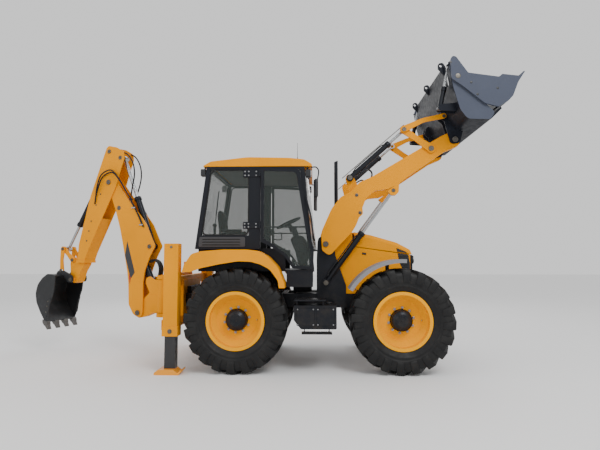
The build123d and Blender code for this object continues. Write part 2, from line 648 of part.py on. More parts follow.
def cab_frame():
    """Cab posts, header rails, lower walls and floor, hollow and open at doors and windows."""
    pieces = [block(-600, 1032, -CAB_INNER_HALF, CAB_INNER_HALF, FLOOR - FLOOR_PLATE, FLOOR)]
    for side in (-1, 1):
        y = side * (CAB_HALF - POST / 2)
        pieces.append(post((A_POST_LOW_X - POST / 2, y, FLOOR - FLOOR_PLATE),
                           (A_POST_TOP_X - POST / 2 + 30, y, ROOF_LOW), POST, POST))
        b_mid = (B_POST_FROM + B_POST_TO) / 2
        pieces.append(post((b_mid, y, WAIST), (b_mid, y, ROOF_LOW), B_POST_TO - B_POST_FROM, POST))
        pieces.append(post((C_POST_LOW_X + POST / 2, y, WAIST), (C_POST_TOP_X, y, ROOF_LOW),
                           POST, POST))
        pieces.append(block(C_POST_TOP_X - 30, A_POST_TOP_X + 20, side * (CAB_HALF - POST),
                            side * CAB_HALF, HEADER + 20, ROOF_LOW))
        quarter = plate([(C_POST_LOW_X, WAIST), (B_POST_TO, WAIST), (B_POST_TO, SILL),
                         (C_POST_LOW_X + 30, SILL)], side * (CAB_HALF - 24), side * CAB_HALF)
        for i in range(4):
            x = -470 + 130 * i
            quarter -= block(x, x + 96, side * (CAB_HALF - 40), side * (CAB_HALF + 10),
                             1700, 1735)
        pieces.append(quarter)
        pieces.append(block(C_POST_LOW_X, B_POST_TO, side * CAB_INNER_HALF, side * CAB_HALF,
                            WAIST, WAIST + 14))
        pieces.append(block(-600, B_POST_TO + 340, side * (CAB_INNER_HALF - 14),
                            side * CAB_INNER_HALF, FLOOR - FLOOR_PLATE, WAIST + 14))
        pieces.append(block(658, 1032, side * (CAB_INNER_HALF - 14), side * (CAB_HALF - 4),
                            FLOOR - FLOOR_PLATE, FLOOR))
        pieces.append(plate([(658, 1150), (1020, 1150), (1020, FLOOR - FLOOR_PLATE),
                             (658, FLOOR - FLOOR_PLATE)], side * (CAB_HALF - 40),
                            side * (CAB_HALF - 4)))
        pieces.append(block(658, 1020, side * RAIL_OUT, side * (CAB_HALF - 4), 1120, 1150))
        for z in (1975, 2700):
            knuckle_low = upright(DOOR_HINGE_X, side * DOOR_HINGE_Y, z - 50, z - 2, HINGE_RADIUS)
            leaf = block(DOOR_HINGE_X - 40, DOOR_HINGE_X, side * (CAB_HALF - 2),
                         side * DOOR_HINGE_Y, z - 50, z - 2)
            pin = upright(DOOR_HINGE_X, side * DOOR_HINGE_Y, z - 20, z + 44, HINGE_PIN)
            pieces.append(knuckle_low + leaf + pin)
    pieces.append(block(-600, -580, -CAB_INNER_HALF, CAB_INNER_HALF, FLOOR - FLOOR_PLATE,
                        WAIST + 14))
    pieces.append(plate([(C_POST_LOW_X, WAIST), (C_POST_LOW_X + 24, WAIST),
                         (C_POST_LOW_X + 56, SILL), (C_POST_LOW_X + 32, SILL)],
                        -CAB_HALF + 10, CAB_HALF - 10))
    pieces.append(block(C_POST_TOP_X - 30, C_POST_TOP_X + 30, -CAB_HALF + 10, CAB_HALF - 10,
                        HEADER + 20, ROOF_LOW))
    pieces.append(block(A_POST_TOP_X - 40, A_POST_TOP_X + 26, -CAB_HALF + 10, CAB_HALF - 10,
                        HEADER + 20, ROOF_LOW))
    pieces.append(block(A_POST_LOW_X - 44, A_POST_LOW_X - 20, -CAB_HALF + 10, CAB_HALF - 10,
                        FLOOR - FLOOR_PLATE, WAIST))
    pieces.append(extrude(screen_slice(WAIST - 16, SCREEN_LOW_X + 2, 90), 16))
    pieces.append(extrude(screen_slice(HEADER + 20, SCREEN_TOP_X + 10, 90), ROOF_LOW - HEADER - 20))
    return fuse(pieces)


def cab_roof():
    """Roof cap with a domed top and rounded rim."""
    side_view = [(-512, ROOF_LOW), (-512, 2806, 20), (-410, 2866, 120), (105, 2924, 900),
                 (680, 2912, 700), (900, 2890, 120), (1006, 2826, 50), (1012, ROOF_LOW)]
    cap = plate(side_view, -CAB_HALF - 8, CAB_HALF + 8)
    rim_edges = [edge for edge in cap.edges() if abs(abs(edge.center().Y) - CAB_HALF - 8) < 1
                 and edge.center().Z > 2840]
    return fillet(rim_edges, ROOF_ROUND)


def c_post_front(z):
    """X of the front face of the leaning rear posts at a height."""
    low, high = C_POST_LOW_X + POST, C_POST_TOP_X + POST / 2
    return low + (high - low) * (z - WAIST) / (ROOF_LOW - WAIST)


def screen_slice(z, x_edge, deep):
    """Level face with a bowed front edge and a back edge of the same bow, deep behind it."""
    half = CAB_HALF - POST
    back = x_edge - deep
    face = make_face(Wire([
        ThreePointArc((x_edge, -half), (x_edge + SCREEN_BOW, 0), (x_edge, half)),
        Line((x_edge, half), (back, half)),
        ThreePointArc((back, half), (back + SCREEN_BOW, 0), (back, -half)),
        Line((back, -half), (x_edge, -half))]))
    return Plane(origin=(0, 0, z), z_dir=(0, 0, 1)) * face


def cab_glass():
    """Windscreen, rear window and the two quarter windows."""
    panes = [loft([screen_slice(WAIST, SCREEN_LOW_X, GLASS),
                   screen_slice(HEADER + 20, SCREEN_TOP_X, GLASS)])]
    half = CAB_HALF - POST
    panes.append(plate([(C_POST_LOW_X + 36, SILL), (C_POST_LOW_X + 42, SILL),
                        (C_POST_TOP_X - 2, HEADER + 20), (C_POST_TOP_X - 8, HEADER + 20)],
                       -half, half))
    for side in (-1, 1):
        panes.append(plate([(c_post_front(SILL), SILL), (B_POST_FROM, SILL),
                            (B_POST_FROM, HEADER + 20), (c_post_front(HEADER + 20), HEADER + 20)],
                           side * (CAB_HALF - 20), side * (CAB_HALF - 20 + GLASS)))
    return panes


def door_outline(inset):
    """Side view of a door, moved in from its edge."""
    return [(302 + inset, 2768 - inset, 12), (838 - inset * 1.1, 2744 - inset, 60),
            (962 - inset, 1897, 300), (1034 - inset, 1637, 200), (1022 - inset, 1360 + inset, 20),
            (742 + inset * 0.6, 1372 + inset, 40), (632 + inset * 0.5, 1540 + inset * 0.7, 140),
            (470 + inset * 0.3, 1655 + inset, 140), (302 + inset, 1740 + inset, 12)]


def door_frame(side):
    """Door frame with its hinge knuckles and handle."""
    inner, outer = side * DOOR_Y, side * (DOOR_Y + DOOR_THICK)
    frame = plate(door_outline(0), inner, outer) - plate(door_outline(DOOR_FRAME), inner - 50,
                                                         outer + 50)
    pieces = [frame]
    for z in (1975, 2700):
        ring = upright(DOOR_HINGE_X, side * DOOR_HINGE_Y, z, z + 46, HINGE_RADIUS)
        leaf = block(DOOR_HINGE_X, 320, side * (DOOR_HINGE_Y - 8), side * (DOOR_HINGE_Y + 10),
                     z, z + 46)
        bore = upright(DOOR_HINGE_X, side * DOOR_HINGE_Y, z - 4, z + 50, HINGE_PIN + RUNNING)
        pieces.append(ring + leaf - bore)
    grip = block(968, 990, side * (DOOR_Y + DOOR_THICK), side * (DOOR_Y + DOOR_THICK + 30),
                 1640, 1790)
    pieces.append(grip)
    return fuse(pieces)


def door_glass(side):
    """Pane set into a door frame."""
    middle = side * (DOOR_Y + DOOR_THICK / 2)
    return plate(door_outline(DOOR_FRAME + 0.3), middle - GLASS / 2, middle + GLASS / 2)


def cab_interior():
    """Seat pedestal, steering column with its wheel, side consoles and rear levers."""
    base = block(-380, 60, -210, 210, FLOOR, SEAT_LOW)
    column = plate([(850, FLOOR), (960, FLOOR), (760, 1990), (680, 1990)], -110, 110)
    spin = Plane(origin=(640, 0, 2060), z_dir=(-0.42, 0, 0.9))
    wheel = spin * Torus(190, 15)
    boss = Solid.make_cylinder(34, 150, Plane(origin=(703, 0, 1925), z_dir=(-0.42, 0, 0.9)))
    spokes = [spin * (Rot(0, 0, angle) * (Pos(95, 0, 0) * Box(190, 30, 12)))
              for angle in (0, 120, 240)]
    consoles = [block(-300, 250, side * 420, side * 560, FLOOR, 1780) for side in (-1, 1)]
    rear_levers = [upright(-470, y, 1780, 2000, 12) for y in (-260, -180, 180, 260)]
    rear_box = block(-560, -430, -330, 330, FLOOR, 1790)
    return [base, fuse([column, boss, wheel] + spokes)] + consoles + [
        fuse([rear_box] + rear_levers)]


def seat():
    """Seat cushion and back rest."""
    cushion = block(-400, 90, -240, 240, SEAT_LOW, SEAT_LOW + 130)
    cushion = fillet(cushion.edges(), 35)
    back = plate([(-400, SEAT_LOW + 100, 40), (-290, SEAT_LOW + 100, 30),
                  (-350, SEAT_LOW + 620, 50), (-470, SEAT_LOW + 620, 50)], -220, 220)
    return cushion + back


def work_lamps():
    """Work lamps under the roof's corners and head lamps on the cowl."""
    pieces = []
    for side in (-1, 1):
        y = side * 790
        lamp = block(925, 990, y - 60, y + 60, 2640, 2750)
        lamp = fillet(lamp.edges().filter_by(Axis.X), 18)
        stem = block(935, 960, y - 12, y + 12, 2745, ROOF_LOW)
        pieces.append(lamp + stem)
        rear = block(-545, -484, y - 60, y + 60, 2660, 2760)
        rear = fillet(rear.edges().filter_by(Axis.X), 18)
        pieces.append(rear + block(-506, -490, y - 12, y + 12, 2755, ROOF_LOW))
        front = HOOD_FRONT - 2
        head = Solid.make_cylinder(HEAD_LAMP_R, 26, Plane(
            origin=(front, side * HEAD_LAMP_Y, HEAD_LAMP_Z), z_dir=(1, 0, 0)))
        pieces.append(head.fillet(8, head.edges().sort_by(Axis.X)[-1:]))
    return pieces


# Loader

def arm_side():
    """Side view of a loader arm, from its pivot round the knee to the bucket pin."""
    return [(1150, 1625, 60), (1140, 1890, 200), (1290, 2230, 300), (1420, 2395, 120),
            (1575, 2480, 90), (1700, 2615, 90), (1875, 2690, 300), (2885, 3283, 400),
            (2975, 3325, 50), (3108, 3322, 70), (3162, 3227, 70), (3130, 3140, 60),
            (2930, 3055, 200),
            (2470, 2747, 500), (2250, 2582, 80), (2110, 2512, 60), (1915, 2490, 80),
            (1795, 2385, 60), (1735, 2240, 60), (1745, 2150, 50), (1690, 2105, 50),
            (1645, 1990, 100), (1590, 1897, 300), (1262, 1548, 60)]


def loader_arms():
    """Two arms joined by a torque tube, with lugs, pins and rear levers."""
    pieces = []
    half = ARM_THICK / 2
    crank_out = ARM_Y + half + GAP + CRANK_PLATE
    for side in (-1, 1):
        y0, y1 = side * (ARM_Y - half), side * (ARM_Y + half)
        arm = plate(arm_side(), y0, y1)
        arm -= round_pin(ARM_PIVOT, y0 - 200, y1 + 200, MAIN_PIN + 4 + RUNNING)
        for inner in (ARM_Y - half, ARM_Y + half - LUG_PLATE):
            lug = plate([(2100, 2480), (2270, 2610), (2262, 2470, 30), (2220, 2425, 36),
                         (2150, 2425, 36)], side * inner, side * (inner + LUG_PLATE))
            arm += lug
        arm -= block(2060, 2320, side * (ARM_Y - EYE_WIDTH / 2 - GAP), side * (
            ARM_Y + EYE_WIDTH / 2 + GAP), 2380, 2596)
        lever = plate([(TILT_BASE[0] - 60, TILT_BASE[1] - 10, 30),
                       (TILT_BASE[0] - 40, TILT_BASE[1] + 62, 40),
                       (TILT_BASE[0] + 50, TILT_BASE[1] + 50, 40), (1700, 2520), (1560, 2440)],
                      side * (ARM_Y - half - 6), side * (ARM_Y - half - 6 + LUG_PLATE))
        lever += round_pin(TILT_BASE, side * (ARM_Y - half + 2), side * (ARM_Y + half), 30)
        arm += lever
        arm += round_pin(CRANK_PIVOT, side * (ARM_Y + half - 10), side * (crank_out + 8), 32)
        arm += round_pin(BUCKET_PIVOT, side * (ARM_Y - 90), side * (ARM_Y + 90), MAIN_PIN)
        pieces.append(arm)
    pieces.append(round_pin(TORQUE_TUBE, -ARM_Y + half - 5, ARM_Y - half + 5, 75))
    return fuse(pieces)


def lift_barrels():
    """Lift ram barrels."""
    return both_sides(lambda side: barrel(
        LIFT_BASE, LIFT_EYE, side * ARM_Y, LIFT_BARREL_R, LIFT_ROD_R, LIFT_BARREL_LENGTH, 55, 60,
        MAIN_PIN))


def lift_rods():
    """Lift ram rods."""
    return both_sides(lambda side: ram_rod(
        LIFT_BASE, LIFT_EYE, side * ARM_Y, LIFT_ROD_R, 80, LIFT_BARREL_LENGTH, 40, EYE_WIDTH, 24))


def tilt_barrels():
    """Bucket tilt ram barrels on top of the arms."""
    return both_sides(lambda side: barrel(
        TILT_BASE, CRANK_TOP, side * (ARM_Y + 8), TILT_BARREL_R, TILT_ROD_R, TILT_BARREL_LENGTH,
        50, 48, 30))


def tilt_rods():
    """Bucket tilt ram rods."""
    return both_sides(lambda side: ram_rod(
        TILT_BASE, CRANK_TOP, side * (ARM_Y + 8), TILT_ROD_R, 60, TILT_BARREL_LENGTH, 40, 40, 22))


def bar_outline(start, end, start_radius, end_radius, bulge):
    """Side view of a link: a bar with rounded ends, curved to one side by bulge."""
    length = math.dist(start, end)
    ux, uz = (end[0] - start[0]) / length, (end[1] - start[1]) / length
    nx, nz = -uz, ux

    def at(run, across, radius):
        return (start[0] + ux * run + nx * across, start[1] + uz * run + nz * across, radius)

    return [at(-start_radius, -start_radius, start_radius * 0.9),
            at(length / 2, -(start_radius + end_radius) * 0.36 + bulge, length / 2),
            at(length + end_radius, -end_radius, end_radius * 0.9),
            at(length + end_radius, end_radius, end_radius * 0.9),
            at(length / 2, (start_radius + end_radius) * 0.36 + bulge, length / 2),
            at(-start_radius, start_radius, start_radius * 0.9)]


def bellcranks():
    """Bellcrank plates outside the arms, each with the pin for its link."""
    def make(side):
        inner = ARM_Y + ARM_THICK / 2 + GAP
        outer = inner + CRANK_PLATE
        crank = plate(bar_outline(CRANK_PIVOT, CRANK_TOP, 62, 52, 0), side * inner, side * outer)
        crank -= round_pin(CRANK_PIVOT, side * (inner - 20), side * (outer + 20), 32 + RUNNING)
        return crank + round_pin(CRANK_TOP, side * (outer - 5), side * (outer + 1), 36)
    return both_sides(make)


def bucket_links():
    """Arched links from the bellcranks to the bucket."""
    def make(side):
        inner = ARM_Y + ARM_THICK / 2 + 2 * GAP + CRANK_PLATE
        outer = inner + LINK_PLATE
        link = plate(bar_outline(CRANK_TOP, LINK_END, 50, 36, 40), side * inner, side * outer)
        link += round_pin(CRANK_TOP, side * (outer - 5), side * (outer + 7), 30)
        return link - round_pin(LINK_END, side * (inner - 20), side * (outer + 20), 24 + RUNNING)
    return both_sides(make)


def loader_bucket():
    """Blade of the clam bucket: curved back, side plates, hinge plates and lifting eyes."""
    back = [(2836, 4170), (2880, 3850, 400), (2985, 3490, 120), (3080, 3362, 100),
            (3385, 3352, 60), (3535, 3500), (3520, 3520), (3375, 3378, 50), (3095, 3386, 84),
            (3008, 3500, 100), (2902, 3856, 400), (2860, 4174)]
    half = BUCKET_HALF - CLAM_PLATE - GAP
    pieces = [plate(back, -half + 5, half - 5)]
    for side in (-1, 1):
        pieces[0] -= block(2800, 2960, side * (CLAM_RAM_Y - 50), side * (CLAM_RAM_Y + 50),
                           3870, 4300)
        pieces[0] -= block(2800, 2960, side * (CLAM_RAM_Y - 50), side * BUCKET_HALF, 4085, 4300)
    side_view = [(2846, 4085), (2905, 4085, 40), (2990, 4030, 60), (3080, 3960, 80),
                 (3180, 3700, 200), (3440, 3450, 40), (3385, 3352, 60), (3080, 3362, 100),
                 (2985, 3490, 120), (2900, 3790, 80)]
    for side in (-1, 1):
        pieces.append(plate(side_view, side * (half - SIDE_PLATE), side * half))
        pieces.append(round_pin(CLAM_PIVOT, side * (half - SIDE_PLATE),
                                side * (BUCKET_HALF - 2), 36))
        for inner in (ARM_Y - ARM_THICK / 2 - GAP - 24, ARM_Y + ARM_THICK / 2 + GAP):
            hinge = plate([(3075 - 60, 3227 - 62, 50), (3075 + 70, 3227 - 50, 50), (3190, 3352),
                           (3080, 3370), (2990, 3500), (2946, 3700), (2880, 3640, 40),
                           (2862, 3540, 50), (2925, 3500, 60)],
                          side * inner, side * (inner + 24))
            hinge -= round_pin(BUCKET_PIVOT, side * (inner - 10), side * (inner + 34),
                               MAIN_PIN + RUNNING)
            pieces.append(hinge)
        pieces.append(round_pin(LINK_END, side * (ARM_Y + ARM_THICK / 2 + GAP + 10),
                                side * (ARM_Y + ARM_THICK / 2 + 2 * GAP + CRANK_PLATE + LINK_PLATE
                                        + 4), 24))
        for inner in (CLAM_RAM_Y - 58, CLAM_RAM_Y + 40):
            ear = plate([(CLAM_BASE[0] - 30, CLAM_BASE[1] - 40, 30),
                         (CLAM_BASE[0] - 30, CLAM_BASE[1] + 40, 30), (2968, 3620), (3000, 3500)],
                        side * inner, side * (inner + 18))
            pieces.append(ear)
        pieces.append(round_pin(CLAM_BASE, side * (CLAM_RAM_Y - 50), side * (CLAM_RAM_Y + 50),
                                20))
    for y in (-860, 0, 860):
        eye = plate([(2770, 4150, 20), (2770, 4225, 34), (2838, 4235, 34), (2880, 4160),
                     (2870, 4000), (2850, 4060)], y - 14, y + 14)
        pieces.append(eye - round_pin((2806, 4190), y - 30, y + 30, 20))
    return fuse(pieces)


def clam_jaw():
    """Front jaw of the clam bucket: curved floor, cutting edge and side arms."""
    floor = [(3480, 3512), (3610, 3592, 80), (3672, 3660, 80), (3742, 3842, 300), (3838, 3990),
             (3812, 3984), (3716, 3850, 300), (3650, 3676, 70), (3592, 3612, 60), (3470, 3532)]
    pieces = [plate(floor, -BUCKET_HALF, BUCKET_HALF)]
    arm = [(2860, 4150, 30), (2880, 4212, 34), (2935, 4195, 30), (3090, 3975, 40),
           (3495, 3915, 30), (3535, 3952, 20), (3765, 3925, 30), (3828, 3985), (3742, 3842, 300),
           (3672, 3660, 80), (3610, 3592, 80), (3480, 3512), (3300, 3560, 80), (3010, 3800, 90),
           (2870, 3900, 70)]
    for side in (-1, 1):
        cheek = plate(arm, side * (BUCKET_HALF - CLAM_PLATE), side * BUCKET_HALF)
        cheek -= round_pin(CLAM_PIVOT, side * (BUCKET_HALF - CLAM_PLATE - 5),
                           side * (BUCKET_HALF + 5), 36 + RUNNING)
        lug = plate([(2860, 4130, 30), (2880, 4212, 34), (2935, 4195, 30), (2960, 4110, 20)],
                    side * (CLAM_RAM_Y + 34), side * (CLAM_RAM_Y + 54))
        tube = round_pin((2922, 4160), side * (CLAM_RAM_Y + 34), side * BUCKET_HALF, 16)
        pieces.append(cheek + lug + tube)
    return fuse(pieces)


def clam_barrels():
    """Clam ram barrels behind the bucket."""
    return both_sides(lambda side: barrel(
        CLAM_BASE, CLAM_EAR, side * CLAM_RAM_Y, CLAM_BARREL_R, CLAM_ROD_R, CLAM_BARREL_LENGTH,
        34, 68, 20))


def clam_rods():
    """Clam ram rods."""
    return both_sides(lambda side: ram_rod(
        CLAM_BASE, CLAM_EAR, side * CLAM_RAM_Y, CLAM_ROD_R, 24, CLAM_BARREL_LENGTH, 30, 40, 16))


# Backhoe

def rear_frame():
    """Rear frame: two cross beams that carry the carriage, and the stabiliser housings."""
    pieces = []
    for low, high in (BEAM_LOW, BEAM_HIGH):
        pieces.append(block(BEAM_REAR, BEAM_FRONT, -LEG_Y + 20, LEG_Y - 20, low, high))
    pieces.append(block(-900, FRAME_REAR, -520, 520, 600, 1200))
    for side in (-1, 1):
        y0, y1 = side * (LEG_Y - LEG_BOX_Y / 2), side * (LEG_Y + LEG_BOX_Y / 2)
        x0, x1 = LEG_X - LEG_BOX / 2, LEG_X + LEG_BOX / 2
        housing = block(x0, x1, y0, y1, LEG_LOW, LEG_HIGH)
        housing += block(x0 - 10, x1 + 8, y0 - side * 6, y1 + side * 6, LEG_LOW, LEG_LOW + 130)
        pieces.append(housing)
    body = fuse(pieces)
    for side in (-1, 1):
        body -= block(LEG_X - LEG_INNER / 2 - SLIDE_GAP, LEG_X + LEG_INNER / 2 + SLIDE_GAP,
                      side * (LEG_Y - LEG_INNER_Y / 2 - SLIDE_GAP),
                      side * (LEG_Y + LEG_INNER_Y / 2 + SLIDE_GAP), LEG_LOW - 5, LEG_HIGH - 20)
    return body


def stabiliser(side):
    """Sliding leg with its floor pad."""
    leg = block(LEG_X - LEG_INNER / 2, LEG_X + LEG_INNER / 2, side * (LEG_Y - LEG_INNER_Y / 2),
                side * (LEG_Y + LEG_INNER_Y / 2), 60, 1180)
    middle = -892
    pad = plate([(middle - PAD_X / 2, 0), (middle - PAD_X / 2, 28), (middle - 100, PAD_HIGH),
                 (middle + 100, PAD_HIGH), (middle + PAD_X / 2, 28), (middle + PAD_X / 2 + 50, 70),
                 (middle + PAD_X / 2 + 50, 44), (middle + PAD_X / 2 + 12, 0)],
                side * (LEG_Y - PAD_Y / 2), side * (LEG_Y + PAD_Y / 2))
    return leg + pad


def carriage():
    """Side-shift carriage hooked on the cross beams, with the two kingpost lugs."""
    face = BEAM_REAR - SLIDE_GAP
    top = BEAM_HIGH[1] + SLIDE_GAP
    low = BEAM_LOW[0] - SLIDE_GAP
    pieces = [block(face - 70, face, -CARRIAGE_HALF, CARRIAGE_HALF, low - 40, top + 40)]
    pieces.append(block(face - 5, BEAM_REAR + 60, -CARRIAGE_HALF, CARRIAGE_HALF, top, top + 40))
    pieces.append(block(face - 5, BEAM_REAR + 60, -CARRIAGE_HALF, CARRIAGE_HALF, low - 40, low))
    for z in (LUG_LOW, LUG_HIGH):
        lug = block(KINGPOST_X, face - 60, -CARRIAGE_LUG_R, CARRIAGE_LUG_R, z, z + LUG_THICK)
        lug += upright(KINGPOST_X, 0, z, z + LUG_THICK, CARRIAGE_LUG_R)
        wedge = block(face - 150, face - 60, -170, 170, z, z + LUG_THICK)
        lug += wedge
        lug -= upright(KINGPOST_X, 0, z - 5, z + LUG_THICK + 5, KINGPOST_PIN + RUNNING)
        pieces.append(lug)
    return fuse(pieces)


def kingpost():
    """Kingpost casting with its pins, the boom foot lug and the ears for the boom ram."""
    low, high = LUG_LOW + LUG_THICK + GAP, LUG_HIGH - GAP
    body = upright(KINGPOST_X, 0, low, high, KINGPOST_R)
    body += upright(KINGPOST_X, 0, LUG_LOW - 8, LUG_HIGH + LUG_THICK + 8, KINGPOST_PIN)
    foot = plate([behind(p) for p in [(20, low), (110, low), (300, 600, 60), (385, 582, 70),
                                      (470, 640, 70), (455, 735, 70), (250, 930, 60),
                                      (130, 1040, 60), (20, 1060)]], -FOOT_HALF, FOOT_HALF)
    ears = []
    for y in (-EAR_OUT, EAR_OUT - EAR_PLATE):
        ears.append(plate([behind(p) for p in [(20, 950), (20, high), (110, high),
                                               (190, 1236, 50), (262, 1200, 50),
                                               (262, 1120, 50), (180, 960)]], y,
                          y + EAR_PLATE))
    pin = round_pin(behind(BOOM_RAM_BASE), -EAR_OUT + 4, EAR_OUT - 4, 30)
    foot -= round_pin(behind(BOOM_FOOT), -80, 80, 36 + RUNNING)
    return fuse([body, foot, pin] + ears)


def boom_front():
    """Side view of the boom, from the foot up to the dipper pin."""
    return [(300, 630, 70), (370, 595, 70), (470, 640, 100), (560, 790, 100), (575, 1122, 500),
            (605, 1322, 500), (690, 1702, 900), (760, 1982, 900), (855, 2277, 900),
            (950, 2507, 300), (1090, 2700, 100), (1060, 2850, 100), (930, 2850, 80),
            (795, 2667, 200), (600, 2427, 400), (385, 2197, 300), (265, 2052, 200),
            (140, 1800, 80), (85, 1700, 60), (130, 1632, 60), (190, 1517, 200), (270, 1322, 400),
            (300, 1127, 400), (295, 872, 300)]


def boom():
    """Boom of two cheeks, a back plate and cross webs, open in front for its rams."""
    cheek = [behind(p) for p in boom_front()]
    inner = BOOM_HALF - CHEEK
    pieces = []
    for side in (-1, 1):
        wall = plate(cheek, side * inner, side * BOOM_HALF)
        pieces.append(wall)
    back = [(556, 840), (571, 1122, 500), (601, 1322, 500), (686, 1702, 900), (733, 1890),
            (715, 1890), (668, 1702, 900), (583, 1322, 500), (553, 1122, 500), (538, 840)]
    pieces.append(plate([behind(p) for p in back], -inner - 5, inner + 5))
    pieces.append(round_pin(behind(BOOM_FOOT), -BOOM_HALF - 12, BOOM_HALF + 12, 36))
    pieces.append(round_pin(behind(DIPPER_RAM_BASE), -BOOM_HALF - 8, BOOM_HALF + 8, 30))
    pin = round_pin(behind(DIPPER_PIVOT), -DIPPER_HALF - 10, DIPPER_HALF + 10, 36)
    boss = round_pin(behind(DIPPER_PIVOT), -inner - 5, inner + 5, 70)
    return fuse(pieces + [pin, boss])


def dipper():
    """Outer dipper: two tapered cheeks, a box below the boom's tip and a collar."""
    cheek = [(1060, 3310, 40), (1015, 3350, 50), (855, 3312, 60), (715, 3232, 60),
             (700, 3130, 60), (785, 2887, 200), (850, 2677, 200), (1400, 1600, 400),
             (1455, 1452), (1590, 1452), (1575, 1732, 300), (1365, 2522, 900)]
    inner = DIPPER_HALF - DIPPER_CHEEK
    pieces = []
    for side in (-1, 1):
        wall = plate([behind(p) for p in cheek], side * inner, side * DIPPER_HALF)
        wall -= round_pin(behind(DIPPER_PIVOT), side * (inner - 5), side * (DIPPER_HALF + 5),
                          36 + RUNNING)
        pieces.append(wall)
    front = [(1122, 2160), (1392, 1615, 300), (1452, 1452), (1470, 1452), (1410, 1615, 300),
             (1140, 2160)]
    pieces.append(plate([behind(p) for p in front], -inner - 5, inner + 5))
    rear = [(1430, 2270), (1573, 1732, 300), (1588, 1452), (1570, 1452), (1555, 1732, 300),
            (1412, 2270)]
    pieces.append(plate([behind(p) for p in rear], -inner - 5, inner + 5))
    collar = plate([behind(p) for p in [(1440, 1440), (1440, 1480), (1605, 1480),
                                        (1605, 1440)]], -DIPPER_HALF - 8, DIPPER_HALF + 8)
    collar -= plate([behind(p) for p in [(STEM_FROM - 0.3, 1400), (STEM_FROM - 0.3, 1500),
                                         (STEM_TO + 0.3, 1500), (STEM_TO + 0.3, 1400)]],
                    -STEM_HALF - 0.3, STEM_HALF + 0.3)
    pieces.append(collar)
    pieces.append(round_pin(behind(CURL_RAM_BASE), -DIPPER_HALF - 6, DIPPER_HALF + 6, 28))
    return fuse(pieces)


def inner_dipper():
    """Sliding inner section below the collar, with the bosses for bucket and lever."""
    stem = plate([behind(p) for p in [(STEM_FROM, 1720), (STEM_TO, 1720), (STEM_TO, 1434),
                                      (1614, 1434), (1640, 1505, 30), (1705, 1540, 50), (1770, 1490, 50),
                                      (1778, 1420, 50), (1755, 1180, 60), (1700, 1095, 60),
                                      (1625, 1120, 50), (1560, 1300, 100), (STEM_FROM, 1415, 60)]],
                 -STEM_HALF, STEM_HALF)
    return stem + round_pin(behind(LEVER_PIVOT), -112, 112, 26) + round_pin(
        behind(DIG_PIVOT), -160, 160, 28)


def lever():
    """Two rocker plates that carry the curl ram's end."""
    plates = []
    for side in (-1, 1):
        rocker = plate(bar_outline(behind(LEVER_PIVOT), behind(LEVER_END), 44, 42, 0),
                       side * 84, side * 104)
        rocker -= round_pin(behind(LEVER_PIVOT), side * 80, side * 110, 26 + RUNNING)
        plates.append(rocker)
    return [plates[0] + round_pin(behind(LEVER_END), -136, -90, 24),
            plates[1] + round_pin(behind(LEVER_END), 90, 136, 24)]


def dig_link():
    """Two bucket links outside the rocker plates."""
    links = []
    for side in (-1, 1):
        link = plate(bar_outline(behind(LEVER_END), behind(DIG_LINK_PIN), 42, 40, -20),
                     side * 110, side * 128)
        link -= round_pin(behind(LEVER_END), side * 100, side * 136, 24 + RUNNING)
        link -= round_pin(behind(DIG_LINK_PIN), side * 100, side * 136, 22)
        links.append(link)
    return links


def dig_bucket():
    """Digging bucket: curved shell, side plates, hinge ears and four teeth."""
    shell_outer = [(1850, 1238), (2020, 1262, 90), (2130, 1190, 120), (2225, 1080, 160),
                   (2262, 935, 200), (2235, 790, 200), (2150, 640, 200), (2030, 470)]
    shell_inner = [(2010, 486), (2134, 652, 200), (2216, 796, 200), (2243, 932, 180),
                   (2207, 1070, 140), (2120, 1172, 100), (2015, 1240, 70), (1856, 1218)]
    half = DIG_BUCKET_HALF
    pieces = [plate([behind(p) for p in shell_outer + shell_inner], -half, half)]
    cheek = [(1850, 1238, 20), (2020, 1262, 90), (2130, 1190, 120), (2225, 1080, 160),
             (2262, 935, 200), (2235, 790, 200), (2150, 640, 200), (2030, 470, 30),
             (1985, 600, 60), (1965, 742, 200), (1880, 972, 300)]
    for side in (-1, 1):
        pieces.append(plate([behind(p) for p in cheek], side * (half - 18), side * half))
        ear = [(1640, 1120, 46), (1650, 1225, 50), (1840, 1310, 50), (1960, 1310, 50),
               (2010, 1240), (1860, 1225), (1730, 1115, 46)]
        pieces.append(plate([behind(p) for p in ear], side * 134, side * 156))
    for i in range(4):
        y = -half + 34 + i * (2 * half - 68) / 3
        tooth = [(2060, 500), (2010, 470), (1965, 365), (1985, 360), (2075, 470)]
        pieces.append(plate([behind(p) for p in tooth], y - 34, y + 34))
    return fuse(pieces) - round_pin(behind(DIG_PIVOT), -170, 170, 28 + RUNNING)


def backhoe_ram(base, eye, radius, rod_radius, length, inside, base_width, eye_width, pin):
    """Barrel and rod of a ram in the middle plane of the backhoe."""
    start, end = behind(base), behind(eye)
    eye_radius = radius + 4
    return (barrel(start, end, 0, radius, rod_radius, length, eye_radius, base_width, pin),
            ram_rod(start, end, 0, rod_radius, inside, length, radius, eye_width, pin - 4))


boom_barrel, boom_rod = backhoe_ram(BOOM_RAM_BASE, BOOM_RAM_EYE, BOOM_BARREL_R, BOOM_ROD_R,
                                    BOOM_BARREL_LENGTH, 90, 62, 80, 30)
dipper_barrel, dipper_rod = backhoe_ram(DIPPER_RAM_BASE, DIPPER_RAM_EYE, DIPPER_BARREL_R,
                                        DIPPER_ROD_R, DIPPER_BARREL_LENGTH, 70, 90, 90, 30)
curl_barrel, curl_rod = backhoe_ram(CURL_RAM_BASE, LEVER_END, CURL_BARREL_R, CURL_ROD_R,
                                    CURL_BARREL_LENGTH, 80, 80, 70, 28)

